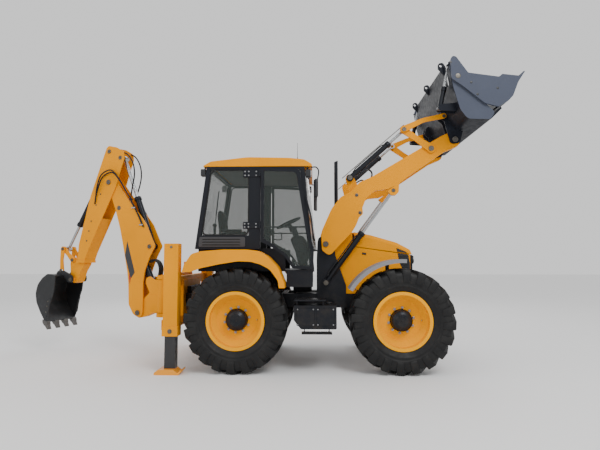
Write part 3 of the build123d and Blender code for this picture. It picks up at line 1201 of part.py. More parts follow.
# Every node of the machine: name, solids, and whether it swings with the backhoe
nodes = {
    "main_frame": main_frame(),
    "front_axle": front_axle(),
    "rear_axle": rear_axle(),
    "engine": engine(),
    "engine_cowl": engine_cowl(),
    "front_grille": front_grille(),
    "exhaust_stack": exhaust(),
    "side_tanks": side_tanks(),
    "rear_fenders": rear_fenders(),
    "cab_frame": cab_frame(),
    "cab_roof": cab_roof(),
    "cab_glass": cab_glass(),
    "cab_interior": cab_interior(),
    "seat": seat(),
    "work_lamps": work_lamps(),
    "rear_frame": rear_frame(),
    "hood": hood(),
    "loader_arms": loader_arms(),
    "lift_barrels": lift_barrels(),
    "lift_rods": lift_rods(),
    "tilt_barrels": tilt_barrels(),
    "tilt_rods": tilt_rods(),
    "bellcranks": bellcranks(),
    "bucket_links": bucket_links(),
    "loader_bucket": loader_bucket(),
    "clam_jaw": clam_jaw(),
    "clam_barrels": clam_barrels(),
    "clam_rods": clam_rods(),
    "carriage": carriage(),
}
swinging = {
    "kingpost": kingpost(),
    "boom": boom(),
    "boom_barrel": boom_barrel,
    "boom_rod": boom_rod,
    "dipper": dipper(),
    "dipper_barrel": dipper_barrel,
    "dipper_rod": dipper_rod,
    "inner_dipper": inner_dipper(),
    "curl_barrel": curl_barrel,
    "curl_rod": curl_rod,
    "bucket_lever": lever(),
    "bucket_link": dig_link(),
    "digging_bucket": dig_bucket(),
}
for name, side in (("right", -1), ("left", 1)):
    nodes[f"tyre_front_{name}"] = tyre(WHEELBASE, side)
    nodes[f"rim_front_{name}"] = rim(WHEELBASE, side)
    nodes[f"tyre_rear_{name}"] = tyre(0, side)
    nodes[f"rim_rear_{name}"] = rim(0, side)
    nodes[f"knuckle_{name}"] = knuckle(side)
    nodes[f"front_guard_{name}"] = front_guard(side)
    nodes[f"door_{name}"] = door_frame(side)
    nodes[f"door_glass_{name}"] = door_glass(side)
    nodes[f"stabiliser_{name}"] = stabiliser(side)

os.makedirs("parts", exist_ok=True)
for name, shape in list(nodes.items()) + list(swinging.items()):
    solids = shape if isinstance(shape, list) else [shape]
    solids = [solid for piece in solids for solid in piece.solids()]
    body = Compound(solids)
    if name in swinging:
        body = turned_left(body)
    export_step(Pos(-ORIGIN_AHEAD, 0, 0) * body, f"parts/{name}.step")
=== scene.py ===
import math

import bmesh
import bpy
import numpy as np
from bpy.props import FloatProperty, FloatVectorProperty, IntProperty, PointerProperty
from bpy.types import Operator, Panel, PropertyGroup
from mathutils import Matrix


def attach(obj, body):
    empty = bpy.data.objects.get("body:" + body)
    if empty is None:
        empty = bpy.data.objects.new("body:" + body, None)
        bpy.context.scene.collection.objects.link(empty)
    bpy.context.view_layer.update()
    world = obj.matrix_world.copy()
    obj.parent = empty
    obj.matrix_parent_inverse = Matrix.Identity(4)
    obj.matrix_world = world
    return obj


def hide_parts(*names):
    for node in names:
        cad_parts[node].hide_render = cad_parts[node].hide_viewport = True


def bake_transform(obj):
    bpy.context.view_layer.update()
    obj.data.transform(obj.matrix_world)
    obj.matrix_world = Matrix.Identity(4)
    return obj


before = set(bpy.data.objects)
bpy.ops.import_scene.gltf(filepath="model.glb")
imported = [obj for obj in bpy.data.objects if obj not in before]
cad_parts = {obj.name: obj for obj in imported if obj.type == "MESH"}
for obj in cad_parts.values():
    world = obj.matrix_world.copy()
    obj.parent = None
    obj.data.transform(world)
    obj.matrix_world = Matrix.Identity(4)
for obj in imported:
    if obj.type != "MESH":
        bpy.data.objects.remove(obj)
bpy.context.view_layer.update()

bl_info = {
    "name": "Backhoe loader dressing",
    "version": (1, 0, 0),
    "blender": (4, 5, 0),
    "location": "View3D > Sidebar > Backhoe loader",
    "description": "Tyres, trim, hoses, wear parts, finishes and studio for the packed machine",
    "category": "Object",
}

# Where things are, in metres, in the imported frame
AXLES = {"rear": -0.140, "front": 2.050}
SIDES = {"right": -1, "left": 1}
BOTH = tuple(SIDES.values())
WHEEL_Y = 0.955
WHEEL_Z = 0.690
HUB_BOLT_CIRCLE = 0.065
VALVE_CIRCLE = 0.27
CAB_SIDE = 0.850
HOOD_SIDE = 0.3718
TANK_SIDE = 1.0105
BOOM_SIDE = 0.1002
DIPPER_SIDE = 0.1202
LEVEL_ROD_Y = 0.548
TOOTH_PITCH = 0.184
CUTTER_W = 0.3102
SWING = math.radians(18)
KINGPOST = np.array([-1.455, 0.0, 0.0])
BEHIND = np.array([-math.cos(SWING), math.sin(SWING), 0.0])
ACROSS = np.array([math.sin(SWING), math.cos(SWING), 0.0])
UP = np.array([0.0, 0.0, 1.0])
OUT = (0, 1, 0)                      # outwards on the left side


# Surfaces

def skin(rings, wrap=False):
    """Quads between rings: points j and j + 1 of ring i join those of ring i + 1."""
    rows, around = rings.shape[:2]
    index = np.arange(rows * around).reshape(rows, around)
    if wrap:
        index = np.vstack([index, index[:1]])
    low, high = index[:-1], index[1:]
    quads = np.stack([low, np.roll(low, -1, 1), np.roll(high, -1, 1), high], -1).reshape(-1, 4)
    ends = [] if wrap else [index[0][::-1], index[-1]]
    return rings.reshape(-1, 3), quads, ends


def basis(axis):
    """Two unit vectors square to an axis and to each other."""
    axis = np.asarray(axis, float) / np.linalg.norm(axis)
    helper = np.array([1.0, 0, 0]) if abs(axis[2]) > 0.9 else np.array([0, 0, 1.0])
    first = np.cross(helper, axis)
    first /= np.linalg.norm(first)
    return axis, first, np.cross(axis, first)


def turned(profile, centre, axis, steps=32, wrap=False):
    """Lathe: each (radius, height) row becomes centre + height * axis + radius * (cos a, sin a)."""
    axis, first, second = basis(axis)
    profile = np.asarray(profile, float)
    angle = np.arange(steps) * 2 * math.pi / steps
    circle = np.cos(angle)[:, None] * first + np.sin(angle)[:, None] * second
    rings = (np.asarray(centre, float) + profile[:, 1, None, None] * axis
             + profile[:, 0, None, None] * circle[None])
    return skin(rings, wrap)


def rounded(corners, radius, steps=5):
    """Outline with each corner replaced by a parabola that starts and ends radius away from it."""
    corner = np.asarray(corners, float)
    back = np.roll(corner, 1, 0) - corner
    ahead = np.roll(corner, -1, 0) - corner
    run_back = np.linalg.norm(back, axis=1)[:, None]
    run_ahead = np.linalg.norm(ahead, axis=1)[:, None]
    reach = np.minimum(np.minimum(radius, 0.45 * run_back), 0.45 * run_ahead)
    start, end = corner + back / run_back * reach, corner + ahead / run_ahead * reach
    t = np.linspace(0, 1, steps)[None, :, None]
    arcs = (1 - t) ** 2 * start[:, None] + 2 * t * (1 - t) * corner[:, None] + t ** 2 * end[:, None]
    return arcs.reshape(-1, 2)


def drawn_in(outline, amount):
    """Outline moved inwards by amount along the mean normal of its two sides at each point."""
    ahead = np.roll(outline, -1, 0)
    side = ahead - outline
    area = np.sum(outline[:, 0] * ahead[:, 1] - ahead[:, 0] * outline[:, 1])
    normal = np.stack([-side[:, 1], side[:, 0]], 1) * (1 if area > 0 else -1)
    normal /= np.maximum(np.linalg.norm(normal, axis=1), 1e-9)[:, None]
    mean = normal + np.roll(normal, 1, 0)
    return outline + amount * mean / np.maximum(np.linalg.norm(mean, axis=1), 1e-9)[:, None]


def pressed(outline, origin, u, v, depth, bevel=0.002):
    """Plate: an outline in the u, v plane pushed out by the vector depth, both rims bevelled."""
    u, v, depth = (np.asarray(a, float) for a in (u, v, depth))
    thick = np.linalg.norm(depth)
    bevel = min(bevel, thick * 0.4)
    levels = [(bevel, 0), (0, bevel / thick), (0, 1 - bevel / thick), (bevel, 1)]
    outline = np.asarray(outline, float)
    rings = np.stack([
        np.asarray(origin, float) + flat[:, :1] * u + flat[:, 1:] * v + depth * share
        for flat, share in ((drawn_in(outline, inset), share) for inset, share in levels)])
    return skin(rings)


def on_side(skins, side, x=0.0):
    """Skins made for the left side, on either side, moved along by x."""
    return [(points * (1, side, 1) + (x, 0, 0), quads, ends) for points, quads, ends in skins]


def both(skins):
    """Skins made for the left side, on both sides."""
    return [part for side in BOTH for part in on_side(skins, side)]


def side_plate(outline, y, thick, bevel=0.002):
    """Plate on the left side: outline in (x, z), from y outwards."""
    return pressed(outline, (0, y, 0), (1, 0, 0), UP, (0, thick, 0), bevel)


def behind(d, z, w=0.0):
    """Point of the swung backhoe: d behind the kingpost, z high, w to its left."""
    return KINGPOST + d * BEHIND + w * ACROSS + z * UP


def arm_plate(outline, w, thick, bevel=0.002):
    """Plate in the swung backhoe's plane: outline in (distance behind the kingpost, height)."""
    return pressed(outline, KINGPOST + w * ACROSS, BEHIND, UP, ACROSS * thick, bevel)


def oblong(x0, z0, x1, z1):
    """Corners of an upright rectangle, for rounded."""
    return np.array([(x0, z0), (x1, z0), (x1, z1), (x0, z1)], float)


def slab(low, high, bevel=0.004):
    """Block between two corners, with rounded upright edges and bevelled top and bottom."""
    (x0, y0, z0), (x1, y1, z1) = low, high
    plan = rounded(oblong(x0, y0, x1, y1), bevel * 2, 3)
    return pressed(plan, (0, 0, z0), (1, 0, 0), OUT, (0, 0, z1 - z0), bevel)


def bent(points, count=40):
    """Smooth line through points: Hermite cubics, each slope that of the point's neighbours."""
    points = np.asarray(points, float)
    run = np.concatenate([[0], np.cumsum(np.linalg.norm(np.diff(points, axis=0), axis=1))])
    slope = np.gradient(points, run, axis=0)
    at = np.linspace(0, run[-1], count)
    k = np.clip(np.searchsorted(run, at, side="right") - 1, 0, len(points) - 2)
    gap = (run[k + 1] - run[k])[:, None]
    f = (at - run[k])[:, None] / gap
    return ((2 * f ** 3 - 3 * f ** 2 + 1) * points[k] + (f ** 3 - 2 * f ** 2 + f) * gap * slope[k]
            + (3 * f ** 2 - 2 * f ** 3) * points[k + 1] + (f ** 3 - f ** 2) * gap * slope[k + 1])


def swept(profile, path, across, wrap=False):
    """Profile carried along a path: its first axis stays square to the path and to across."""
    path = np.asarray(path, float)
    run = np.roll(path, -1, 0) - np.roll(path, 1, 0) if wrap else np.gradient(path, axis=0)
    run /= np.linalg.norm(run, axis=1)[:, None]
    first = np.cross(run, np.asarray(across, float))
    first /= np.linalg.norm(first, axis=1)[:, None]
    second = np.cross(first, run)
    profile = np.asarray(profile, float)
    rings = (path[:, None] + profile[None, :, 0, None] * first[:, None]
             + profile[None, :, 1, None] * second[:, None])
    return skin(rings, wrap)


def ring_of(radius, steps=10):
    """Circle of points, as a profile."""
    angle = np.arange(steps) * 2 * math.pi / steps
    return np.stack([np.cos(angle), np.sin(angle)], 1) * radius


def tube(points, radius, across, count=40, steps=10):
    """Round tube along the smooth line through points."""
    return swept(ring_of(radius, steps), bent(points, count), across)


def hex_head(centre, axis, size, high):
    """Bolt head: washer under a chamfered hexagon."""
    washer = turned([(size * 1.35, 0), (size * 1.4, 0.0015), (size * 1.3, 0.003)], centre, axis, 16)
    head = turned([(size, 0.002), (size * 1.08, 0.004), (size * 1.08, high - 0.002),
                   (size * 0.85, high)], centre, axis, 6)
    return [washer, head]


def bolt_rows(xs, zs, y, size, high):
    """Bolt heads on the left side at every x and z."""
    return [part for x in xs for z in zs for part in hex_head((x, y, z), OUT, size, high)]


def pin_cap(centre, axis, radius):
    """End of a pivot pin: low chamfered collar, recessed face and grease nipple."""
    collar = turned([(radius * 1.22, -0.003), (radius * 1.22, 0.003), (radius * 1.12, 0.0065),
                     (radius * 0.86, 0.0065), (radius * 0.80, 0.004), (radius * 0.25, 0.004),
                     (radius * 0.05, 0.004)], centre, axis, 28)
    nipple = turned([(0.0055, 0.003), (0.0055, 0.009), (0.003, 0.011), (0.0035, 0.015),
                     (0.001, 0.017)], centre, axis, 8)
    return [collar, nipple]


def pad(centre, length, width, up, halves, channels=()):
    """Cushion of two crowned faces: ring s is s * (a |cos t|^0.4, b |sin t|^0.4), drawn in by 4 %
    between the corners, at height h * (1 - s^4)^0.5, less a groove at each channel along length."""
    a, b, h = halves
    length, width, up = (np.asarray(v, float) for v in (length, width, up))
    turn = np.arange(72) * 2 * math.pi / 72
    edge = 1 - 0.04 * np.cos(2 * turn) ** 2
    x = a * edge * np.sign(np.cos(turn)) * np.abs(np.cos(turn)) ** 0.4
    y = b * edge * np.sign(np.sin(turn)) * np.abs(np.sin(turn)) ** 0.4
    share = np.linspace(0.03, 1, 22)
    share = np.concatenate([share, share[-2::-1]])
    face = np.where(np.arange(len(share)) < 22, -1.0, 1.0)[:, None]
    xs, ys = share[:, None] * x, share[:, None] * y
    rise = h * np.sqrt(np.maximum(1 - share ** 4, 0))[:, None] * np.ones_like(xs)
    for at in channels:
        rise = rise * (1 - 0.22 * np.exp(-((xs - at) / 0.007) ** 2))
    rings = (np.asarray(centre, float) + xs[..., None] * length + ys[..., None] * width
             + (face * rise)[..., None] * up)
    return skin(rings), rings[21]


def added(name, data):
    """A new object in the scene."""
    thing = bpy.data.objects.new(name, data)
    bpy.context.scene.collection.objects.link(thing)
    return thing


def piece(name, skins, finish, body="chassis", sharp=35):
    """One object from skins, its faces turned outwards; edges sharper than sharp degrees stay
    crisp. Its one slot holds its finish."""
    starts = np.cumsum([0] + [len(points) for points, _, _ in skins[:-1]])
    faces = []
    for start, (_, quads, ends) in zip(starts, skins):
        faces += (quads + start).tolist() + [(end + start).tolist() for end in ends]
    mesh = bpy.data.meshes.new(name)
    mesh.from_pydata(np.concatenate([points for points, _, _ in skins]).tolist(), [], faces)
    shell = bmesh.new()
    shell.from_mesh(mesh)
    bmesh.ops.recalc_face_normals(shell, faces=shell.faces[:])
    shell.to_mesh(mesh)
    shell.free()
    mesh.shade_smooth()
    mesh.set_sharp_from_angle(angle=math.radians(sharp))
    mesh.materials.append(finished(finish))
    thing = added(name, mesh)
    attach(thing, body)
    return thing


# Finishes

def rgba(colour, share=1.0, lift=0.0):
    """Colour with alpha, each part c of it as share * c + lift."""
    return (*(c * share + lift for c in colour), 1)


class Finish:
    """A Principled material with nodes added one at a time."""

    def __init__(self, name, **constants):
        self.material = bpy.data.materials.new(name)
        self.material.use_nodes = True
        self.tree = self.material.node_tree
        self.shader = self.tree.nodes["Principled BSDF"]
        for socket, value in constants.items():
            self.shader.inputs[socket.replace("_", " ")].default_value = value
        self.place = self.tree.nodes.new("ShaderNodeTexCoord").outputs["Object"]

    def add(self, kind, links=(), **values):
        node = self.tree.nodes.new(kind)
        for key, value in values.items():
            setattr(node, key, value)
        for socket, source in dict(links).items():
            if isinstance(source, bpy.types.NodeSocket):
                self.tree.links.new(source, node.inputs[socket])
            else:
                node.inputs[socket].default_value = source
        return node

    def noise(self, scale, detail=4.0, rough=0.55, stretch=None):
        place = self.place
        if stretch:
            place = self.add("ShaderNodeMapping", {"Vector": place, "Scale": stretch}).outputs[0]
        return self.add("ShaderNodeTexNoise", {
            "Vector": place, "Scale": scale, "Detail": detail, "Roughness": rough}).outputs["Fac"]

    def between(self, value, low, high, start=0.0, end=1.0):
        node = self.add("ShaderNodeMapRange", {
            "Value": value, "From Min": low, "From Max": high, "To Min": start, "To Max": end})
        return node.outputs["Result"]

    def mixed(self, share, first, second):
        node = self.add("ShaderNodeMix", data_type="RGBA")
        for index, source in ((0, share), (6, first), (7, second)):
            if isinstance(source, bpy.types.NodeSocket):
                self.tree.links.new(source, node.inputs[index])
            else:
                node.inputs[index].default_value = source
        return node.outputs[2]

    def times(self, first, second):
        return self.add("ShaderNodeMath", {0: first, 1: second}, operation="MULTIPLY").outputs[0]

    def height(self):
        return self.add("ShaderNodeSeparateXYZ", {"Vector": self.place}).outputs["Z"]

    def into(self, socket, source):
        self.tree.links.new(source, self.shader.inputs[socket])

    def bumped(self, source, strength, distance=0.001):
        bump = self.add("ShaderNodeBump", {
            "Height": source, "Strength": strength, "Distance": distance})
        self.into("Normal", bump.outputs[0])


def coated(name, colour, shade, rough=0.46, coat=0.0, dust=0.06):
    """Paint: slow shifts of shade, road dust low down and in blotches, orange peel in the coat."""
    glint = tuple(c / max(colour) for c in colour)
    f = Finish(name, Coat_Weight=coat, Coat_Roughness=0.12, Specular_IOR_Level=0.25,
               Specular_Tint=rgba(glint))
    drift = f.between(f.noise(1.7, 3.0), 0.35, 0.7)
    base = f.mixed(drift, rgba(colour), rgba(shade))
    low = f.between(f.height(), 1.6, 0.15)
    blotch = f.between(f.noise(9.0, 6.0, 0.65), 0.42, 0.8)
    film = f.times(f.times(low, blotch), dust)
    f.into("Base Color", f.mixed(film, base, (0.36, 0.26, 0.13, 1)))
    f.into("Roughness", f.between(f.noise(14.0, 5.0), 0.3, 0.75, rough * 0.8, rough * 1.35))
    f.bumped(f.noise(260.0, 2.0), 0.05, 0.0006)
    return f.material


def steel(name, colour, worn, rough=0.42, metal=0.35, wear=0.5):
    """Worn steel: paint with brighter rubbed patches drawn out along the digging direction."""
    f = Finish(name, Metallic=metal)
    rub = f.between(f.noise(5.0, 9.0, 0.7, (1.0, 3.0, 1.0)), 0.5, 0.72)
    base = f.mixed(f.times(rub, wear), rgba(colour), rgba(worn))
    stain = f.between(f.noise(2.2, 5.0), 0.5, 0.85, 0.0, 0.5)
    f.into("Base Color", f.mixed(stain, base, rgba(colour, 0.55)))
    f.into("Roughness", f.between(f.noise(18.0, 6.0), 0.3, 0.8, rough * 0.8, rough * 1.4))
    f.bumped(f.noise(70.0, 8.0, 0.7), 0.18, 0.0012)
    return f.material


def rubber(name, colour, dusty, rough=0.78, grain=120.0):
    """Rubber: matt, with dry dust in blotches and a fine moulded grain."""
    f = Finish(name, Specular_IOR_Level=0.25)
    dust = f.between(f.noise(7.0, 7.0, 0.62), 0.45, 0.8, 0.0, 0.8)
    f.into("Base Color", f.mixed(dust, rgba(colour), rgba(dusty)))
    f.into("Roughness", f.between(f.noise(16.0, 4.0), 0.3, 0.75, rough - 0.14, rough + 0.1))
    f.bumped(f.noise(grain, 3.0), 0.16, 0.0008)
    return f.material


def moulded(name, colour, rough=0.5, grain=420.0, bump=0.1, gloss=0.4):
    """Moulded plastic: even colour with a leather-like grain and faint scuffs."""
    f = Finish(name, Specular_IOR_Level=gloss)
    scuff = f.between(f.noise(11.0, 7.0, 0.7), 0.55, 0.85, 0.0, 0.3)
    f.into("Base Color", f.mixed(scuff, rgba(colour), rgba(colour, 1.6, 0.01)))
    f.into("Roughness", f.between(f.noise(20.0, 4.0), 0.3, 0.8, rough - 0.08, rough + 0.12))
    f.bumped(f.noise(grain, 2.0), bump, 0.0005)
    return f.material


def bright(name, colour, rough=0.12):
    """Plated steel: fine turning marks and a trace of oil film."""
    f = Finish(name, Metallic=1.0)
    film = f.between(f.noise(6.0, 4.0), 0.4, 0.8, 0.0, 0.35)
    f.into("Base Color", f.mixed(film, rgba(colour), rgba(colour, 0.7)))
    f.into("Roughness", f.between(f.noise(45.0, 5.0), 0.3, 0.7, rough * 0.7, rough * 2.0))
    f.bumped(f.noise(300.0, 2.0), 0.03, 0.0003)
    return f.material


def glazed(name, colour, clear=0.34):
    """Cab glass: a thin tinted pane that lets most light through and mirrors the studio."""
    f = Finish(name, Alpha=clear, IOR=1.45, Coat_Weight=0.6, Coat_Roughness=0.02)
    smear = f.between(f.noise(3.0, 5.0), 0.35, 0.75, 0.02, 0.09)
    f.into("Roughness", smear)
    drift = f.between(f.noise(0.9, 2.0), 0.3, 0.7)
    f.into("Base Color", f.mixed(drift, rgba(colour), rgba(colour, 0.8)))
    return f.material


def lens(name, colour):
    """Lamp lens: clear moulded plastic with fine upright ribs."""
    f = Finish(name, Roughness=0.08, IOR=1.5, Coat_Weight=0.8)
    ribs = f.add("ShaderNodeTexWave", {"Vector": f.place, "Scale": 45.0, "Distortion": 0.3},
                 bands_direction="Y")
    f.into("Base Color", f.mixed(f.between(ribs.outputs["Fac"], 0, 1), rgba(colour),
                                 rgba(colour, 0.75)))
    f.bumped(ribs.outputs["Fac"], 0.25, 0.001)
    return f.material


def studio_floor(name, colour):
    """Plain pale floor with the faintest grain."""
    f = Finish(name, Specular_IOR_Level=0.25)
    f.into("Base Color", f.mixed(f.between(f.noise(2.0, 2.0), 0.3, 0.7, 0.0, 0.3), rgba(colour),
                                 rgba(colour, 0.985)))
    f.into("Roughness", f.between(f.noise(30.0, 2.0), 0.3, 0.7, 0.75, 0.85))
    return f.material


def finish_recipes():
    """The maker of each finish and its values; the colours come from the panel."""
    c = bpy.context.scene.loader_colours
    paint, wheel, dark = tuple(c.paint), tuple(c.wheel), tuple(c.dark)
    return {
        "machine_paint": (coated, paint, tuple(v * 0.9 for v in paint)),
        "wheel_paint": (coated, wheel, tuple(v * 0.92 for v in wheel), 0.45, 0.0, 0.1),
        "dark_paint": (coated, dark, tuple(v * 0.7 for v in dark), 0.42, 0.1, 0.1),
        "bucket_steel": (bucket_paint, tuple(c.bucket)),
        "stabiliser_paint": (leg_and_pad,),
        "digging_steel": (steel, (0.018, 0.019, 0.021), (0.07, 0.07, 0.075), 0.38, 0.3, 0.4),
        "tooth_steel": (steel, (0.12, 0.115, 0.11), (0.3, 0.29, 0.28), 0.4, 0.8, 0.7),
        "tyre_rubber": (rubber, (0.0085, 0.0085, 0.009), (0.024, 0.0235, 0.022), 0.55),
        "seal_rubber": (rubber, (0.012, 0.012, 0.012), (0.03, 0.03, 0.028), 0.6, 300.0),
        "hose_rubber": (rubber, (0.012, 0.012, 0.013), (0.035, 0.034, 0.03), 0.55, 500.0),
        "trim_plastic": (moulded, (0.016, 0.017, 0.019)),
        "pin_steel": (steel, (0.11, 0.10, 0.085), (0.25, 0.24, 0.22), 0.42, 0.8, 0.6),
        "guard_plastic": (moulded, tuple(c.guard), 0.6, 420.0, 0.1, 0.0),
        "cast_iron": (steel, (0.05, 0.05, 0.052), (0.1, 0.1, 0.1), 0.55, 0.2, 0.3),
        "rod_chrome": (bright, (0.40, 0.41, 0.42), 0.16),
        "zinc_plate": (bright, (0.36, 0.365, 0.37), 0.3),
        "vent_plastic": (moulded, (0.042, 0.043, 0.047)),
        "lining": (moulded, (0.17, 0.175, 0.17), 0.8, 300.0),
        "cab_glass": (glazed, tuple(c.glass)),
        "clear_lens": (lens, (0.8, 0.82, 0.84)),
        "red_lens": (lens, (0.5, 0.02, 0.015)),
        "amber_lens": (lens, (0.85, 0.25, 0.01)),
        "decal_grey": (moulded, (0.03, 0.031, 0.035), 0.35, 800.0, 0.02),
        "decal_red": (moulded, (0.35, 0.02, 0.015), 0.35, 800.0, 0.02),
        "seat_cloth": (rubber, (0.02, 0.02, 0.022), (0.045, 0.045, 0.045), 0.85, 260.0),
        "studio_floor": (studio_floor, tuple(c.floor)),
    }


def finished(name):
    """The material of that name, made the first time it is asked for."""
    known = bpy.data.materials.get(name)
    if known:
        return known
    maker, *values = finish_recipes()[name]
    return maker(name, *values)


NODE_FINISHES = {
    "machine_paint": ["rear_fenders", "cab_roof", "hood", "engine_cowl", "loader_arms",
        "bellcranks", "bucket_links", "kingpost", "boom", "dipper", "inner_dipper",
        "bucket_lever", "bucket_link", "rear_frame", "carriage"],
    "wheel_paint": ["rim_front_right", "rim_front_left", "rim_rear_right", "rim_rear_left"],
    "dark_paint": ["main_frame", "front_axle", "rear_axle", "side_tanks", "knuckle_right",
        "knuckle_left", "lift_barrels", "tilt_barrels", "clam_barrels", "boom_barrel",
        "dipper_barrel", "curl_barrel", "exhaust_stack", "door_right", "door_left", "cab_frame",
        "front_grille"],
    "bucket_steel": ["loader_bucket", "clam_jaw"],
    "digging_steel": ["digging_bucket"],
    "tyre_rubber": ["tyre_front_right", "tyre_front_left", "tyre_rear_right", "tyre_rear_left"],
    "guard_plastic": ["front_guard_right", "front_guard_left"],
    "rod_chrome": ["lift_rods", "tilt_rods", "clam_rods", "boom_rod", "dipper_rod", "curl_rod"],
    "cab_glass": ["cab_glass", "door_glass_right", "door_glass_left"],
    "trim_plastic": ["cab_interior", "seat", "work_lamps"],
    "cast_iron": ["engine"],
    "stabiliser_paint": ["stabiliser_right", "stabiliser_left"],
}


def bucket_paint(name, colour):
    """Bucket paint: side plates' outer faces in the colour, the sheets between darker as painted
    shade.
    """
    f = Finish(name, Specular_IOR_Level=0.05)
    across = f.add("ShaderNodeSeparateXYZ", {"Vector": f.place}).outputs["Y"]
    out = f.add("ShaderNodeMath", {0: across}, operation="ABSOLUTE").outputs[0]
    # painted shade: the sheets between the side plates are painted like them, but shown at a fifth
    # of the colour
    painted_shade = tuple(v * 0.2 for v in colour)
    base = f.mixed(f.between(out, 1.1275, 1.1285), rgba(painted_shade), rgba(colour))
    rub = f.between(f.noise(5.0, 9.0, 0.7, (1.0, 3.0, 1.0)), 0.5, 0.78, 0.0, 0.16)
    f.into("Base Color", f.mixed(rub, base, rgba(colour, 1.5)))
    f.into("Roughness", f.between(f.noise(18.0, 6.0), 0.3, 0.8, 0.36, 0.6))
    f.bumped(f.noise(70.0, 8.0, 0.7), 0.14, 0.001)
    return f.material


def leg_and_pad(name):
    """Stabiliser paint: the sliding leg dark, the foot in the machine's colour, split by height."""
    c = bpy.context.scene.loader_colours
    f = Finish(name, Coat_Weight=0.3, Coat_Roughness=0.15)
    split = f.between(f.height(), 0.071, 0.075)
    scratch = f.between(f.noise(30.0, 6.0, 0.7, (1, 1, 0.05)), 0.62, 0.75, 0.0, 0.5)
    leg = f.mixed(scratch, rgba(c.dark), (0.12, 0.12, 0.12, 1))
    f.into("Base Color", f.mixed(split, rgba(c.paint), leg))
    f.into("Roughness", f.between(f.noise(12.0, 5.0), 0.3, 0.8, 0.3, 0.5))
    f.bumped(f.noise(200.0, 2.0), 0.05, 0.0006)
    return f.material


# Pieces

def tint(name, text, default):
    """A colour on the panel."""
    return FloatVectorProperty(name=name, description=text, default=default,
                               subtype="COLOR", size=3)


def length(name, text, default):
    """A length on the panel."""
    return FloatProperty(name=name, description=text, default=default, unit="LENGTH")


def number(name, text, default, low, high):
    """A count on the panel."""
    return IntProperty(name=name, description=text, default=default, min=low, max=high)


class LoaderSizes(PropertyGroup):
    lug_count: number("Lugs", "Tread lugs on each half of a tyre", 20, 8, 40)
    lug_width: length("Lug width", "Width of a lug at the shoulder", 0.116)
    nut_count: number("Wheel nuts", "Nuts around each hub", 10, 4, 20)
    nut_circle: length("Nut circle", "Radius of the circle of wheel nuts", 0.168)
    hose_radius: length("Hose radius", "Outer radius of the hydraulic hoses", 0.011)


class LoaderColours(PropertyGroup):
    paint: tint("Paint", "Colour of the painted sheet and arms", (0.84, 0.315, 0.0))
    wheel: tint("Wheels", "Colour of the rims", (0.95, 0.40, 0.0))
    dark: tint("Dark paint", "Colour of the frame, cab posts and rams", (0.0075, 0.008, 0.0095))
    bucket: tint("Bucket", "Colour of the loader bucket", (0.072, 0.082, 0.112))
    guard: tint("Mudguards", "Colour of the front mudguards", (0.030, 0.029, 0.028))
    glass: tint("Glass", "Tint of the cab glass", (0.03, 0.042, 0.036))
    floor: tint("Floor", "Colour of the studio floor", (0.86, 0.86, 0.86))


class LOADER_OT_finishes(Operator):
    """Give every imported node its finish"""
    bl_idname = "loader.finishes"
    bl_label = "Finishes"

    def execute(self, context):
        for finish, names in NODE_FINISHES.items():
            for name in names:
                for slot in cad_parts[name].material_slots:
                    slot.material = finished(finish)
        return {"FINISHED"}


def tyre_shell(steps=120):
    """Tyre without lugs about the Y axis: bead, sidewall with two steps, shoulder and crown."""
    right = np.array([(0.356, 0.158), (0.385, 0.160), (0.398, 0.168), (0.420, 0.182),
        (0.452, 0.192), (0.4555, 0.1955), (0.470, 0.198), (0.4735, 0.1955), (0.500, 0.1985),
        (0.5035, 0.2015), (0.512, 0.2020), (0.545, 0.2030), (0.585, 0.200), (0.618, 0.192),
        (0.638, 0.178), (0.647, 0.155), (0.651, 0.090), (0.652, 0.030)])
    left = right[::-1] * (1, -1)
    return turned(np.vstack([right, left]), (0, 0, 0), (0, 1, 0), steps, wrap=True)


def tyre_lugs(count, width, half):
    """Lugs of one half of the tread: a flat-topped section carried from past the centre line,
    slanting back as it goes out, over the shoulder and down the sidewall, turned count times."""
    run = np.array([0.0, 0.15, 0.35, 0.6, 0.8, 0.92, 1.0, 1.04, 1.12, 1.25, 1.42, 1.60, 1.66])
    y_top = np.array([-0.022, 0.012, 0.062, 0.122, 0.163, 0.184, 0.193, 0.1985, 0.2055, 0.2105,
        0.2130, 0.2120, 0.2060])
    r_top = np.array([0.688, 0.690, 0.6895, 0.688, 0.6855, 0.682, 0.676, 0.668, 0.645, 0.612,
        0.565, 0.522, 0.513])
    y_low = np.array([-0.022, 0.012, 0.062, 0.122, 0.156, 0.174, 0.182, 0.186, 0.190, 0.194, 0.199,
                      0.200, 0.200])
    r_low = np.array([0.646, 0.646, 0.645, 0.643, 0.640, 0.634, 0.626, 0.620, 0.608, 0.588, 0.556,
        0.522, 0.513])
    turn = np.array([0.0, 0.034, 0.098, 0.165, 0.203, 0.220, 0.228, 0.231, 0.235, 0.239, 0.243,
        0.246, 0.247])
    wide = width * (0.60 + 0.40 * np.minimum(run, 1))
    across = np.array([-0.54, -0.47, -0.42, 0.42, 0.47, 0.54])
    rise = np.array([0.0, 0.88, 1.0, 1.0, 0.88, 0.0])
    y = y_low[:, None] + (y_top - y_low)[:, None] * rise
    r = r_low[:, None] + (r_top - r_low)[:, None] * rise
    spin = turn[:, None] + across * (wide / 0.67)[:, None]
    start = np.arange(count) * 2 * math.pi / count + (0 if half > 0 else math.pi / count)
    angle = start[:, None, None] + spin
    points = np.stack([r * np.sin(angle), np.broadcast_to(half * y, angle.shape),
        r * np.cos(angle)], -1)
    return [skin(lug) for lug in points]


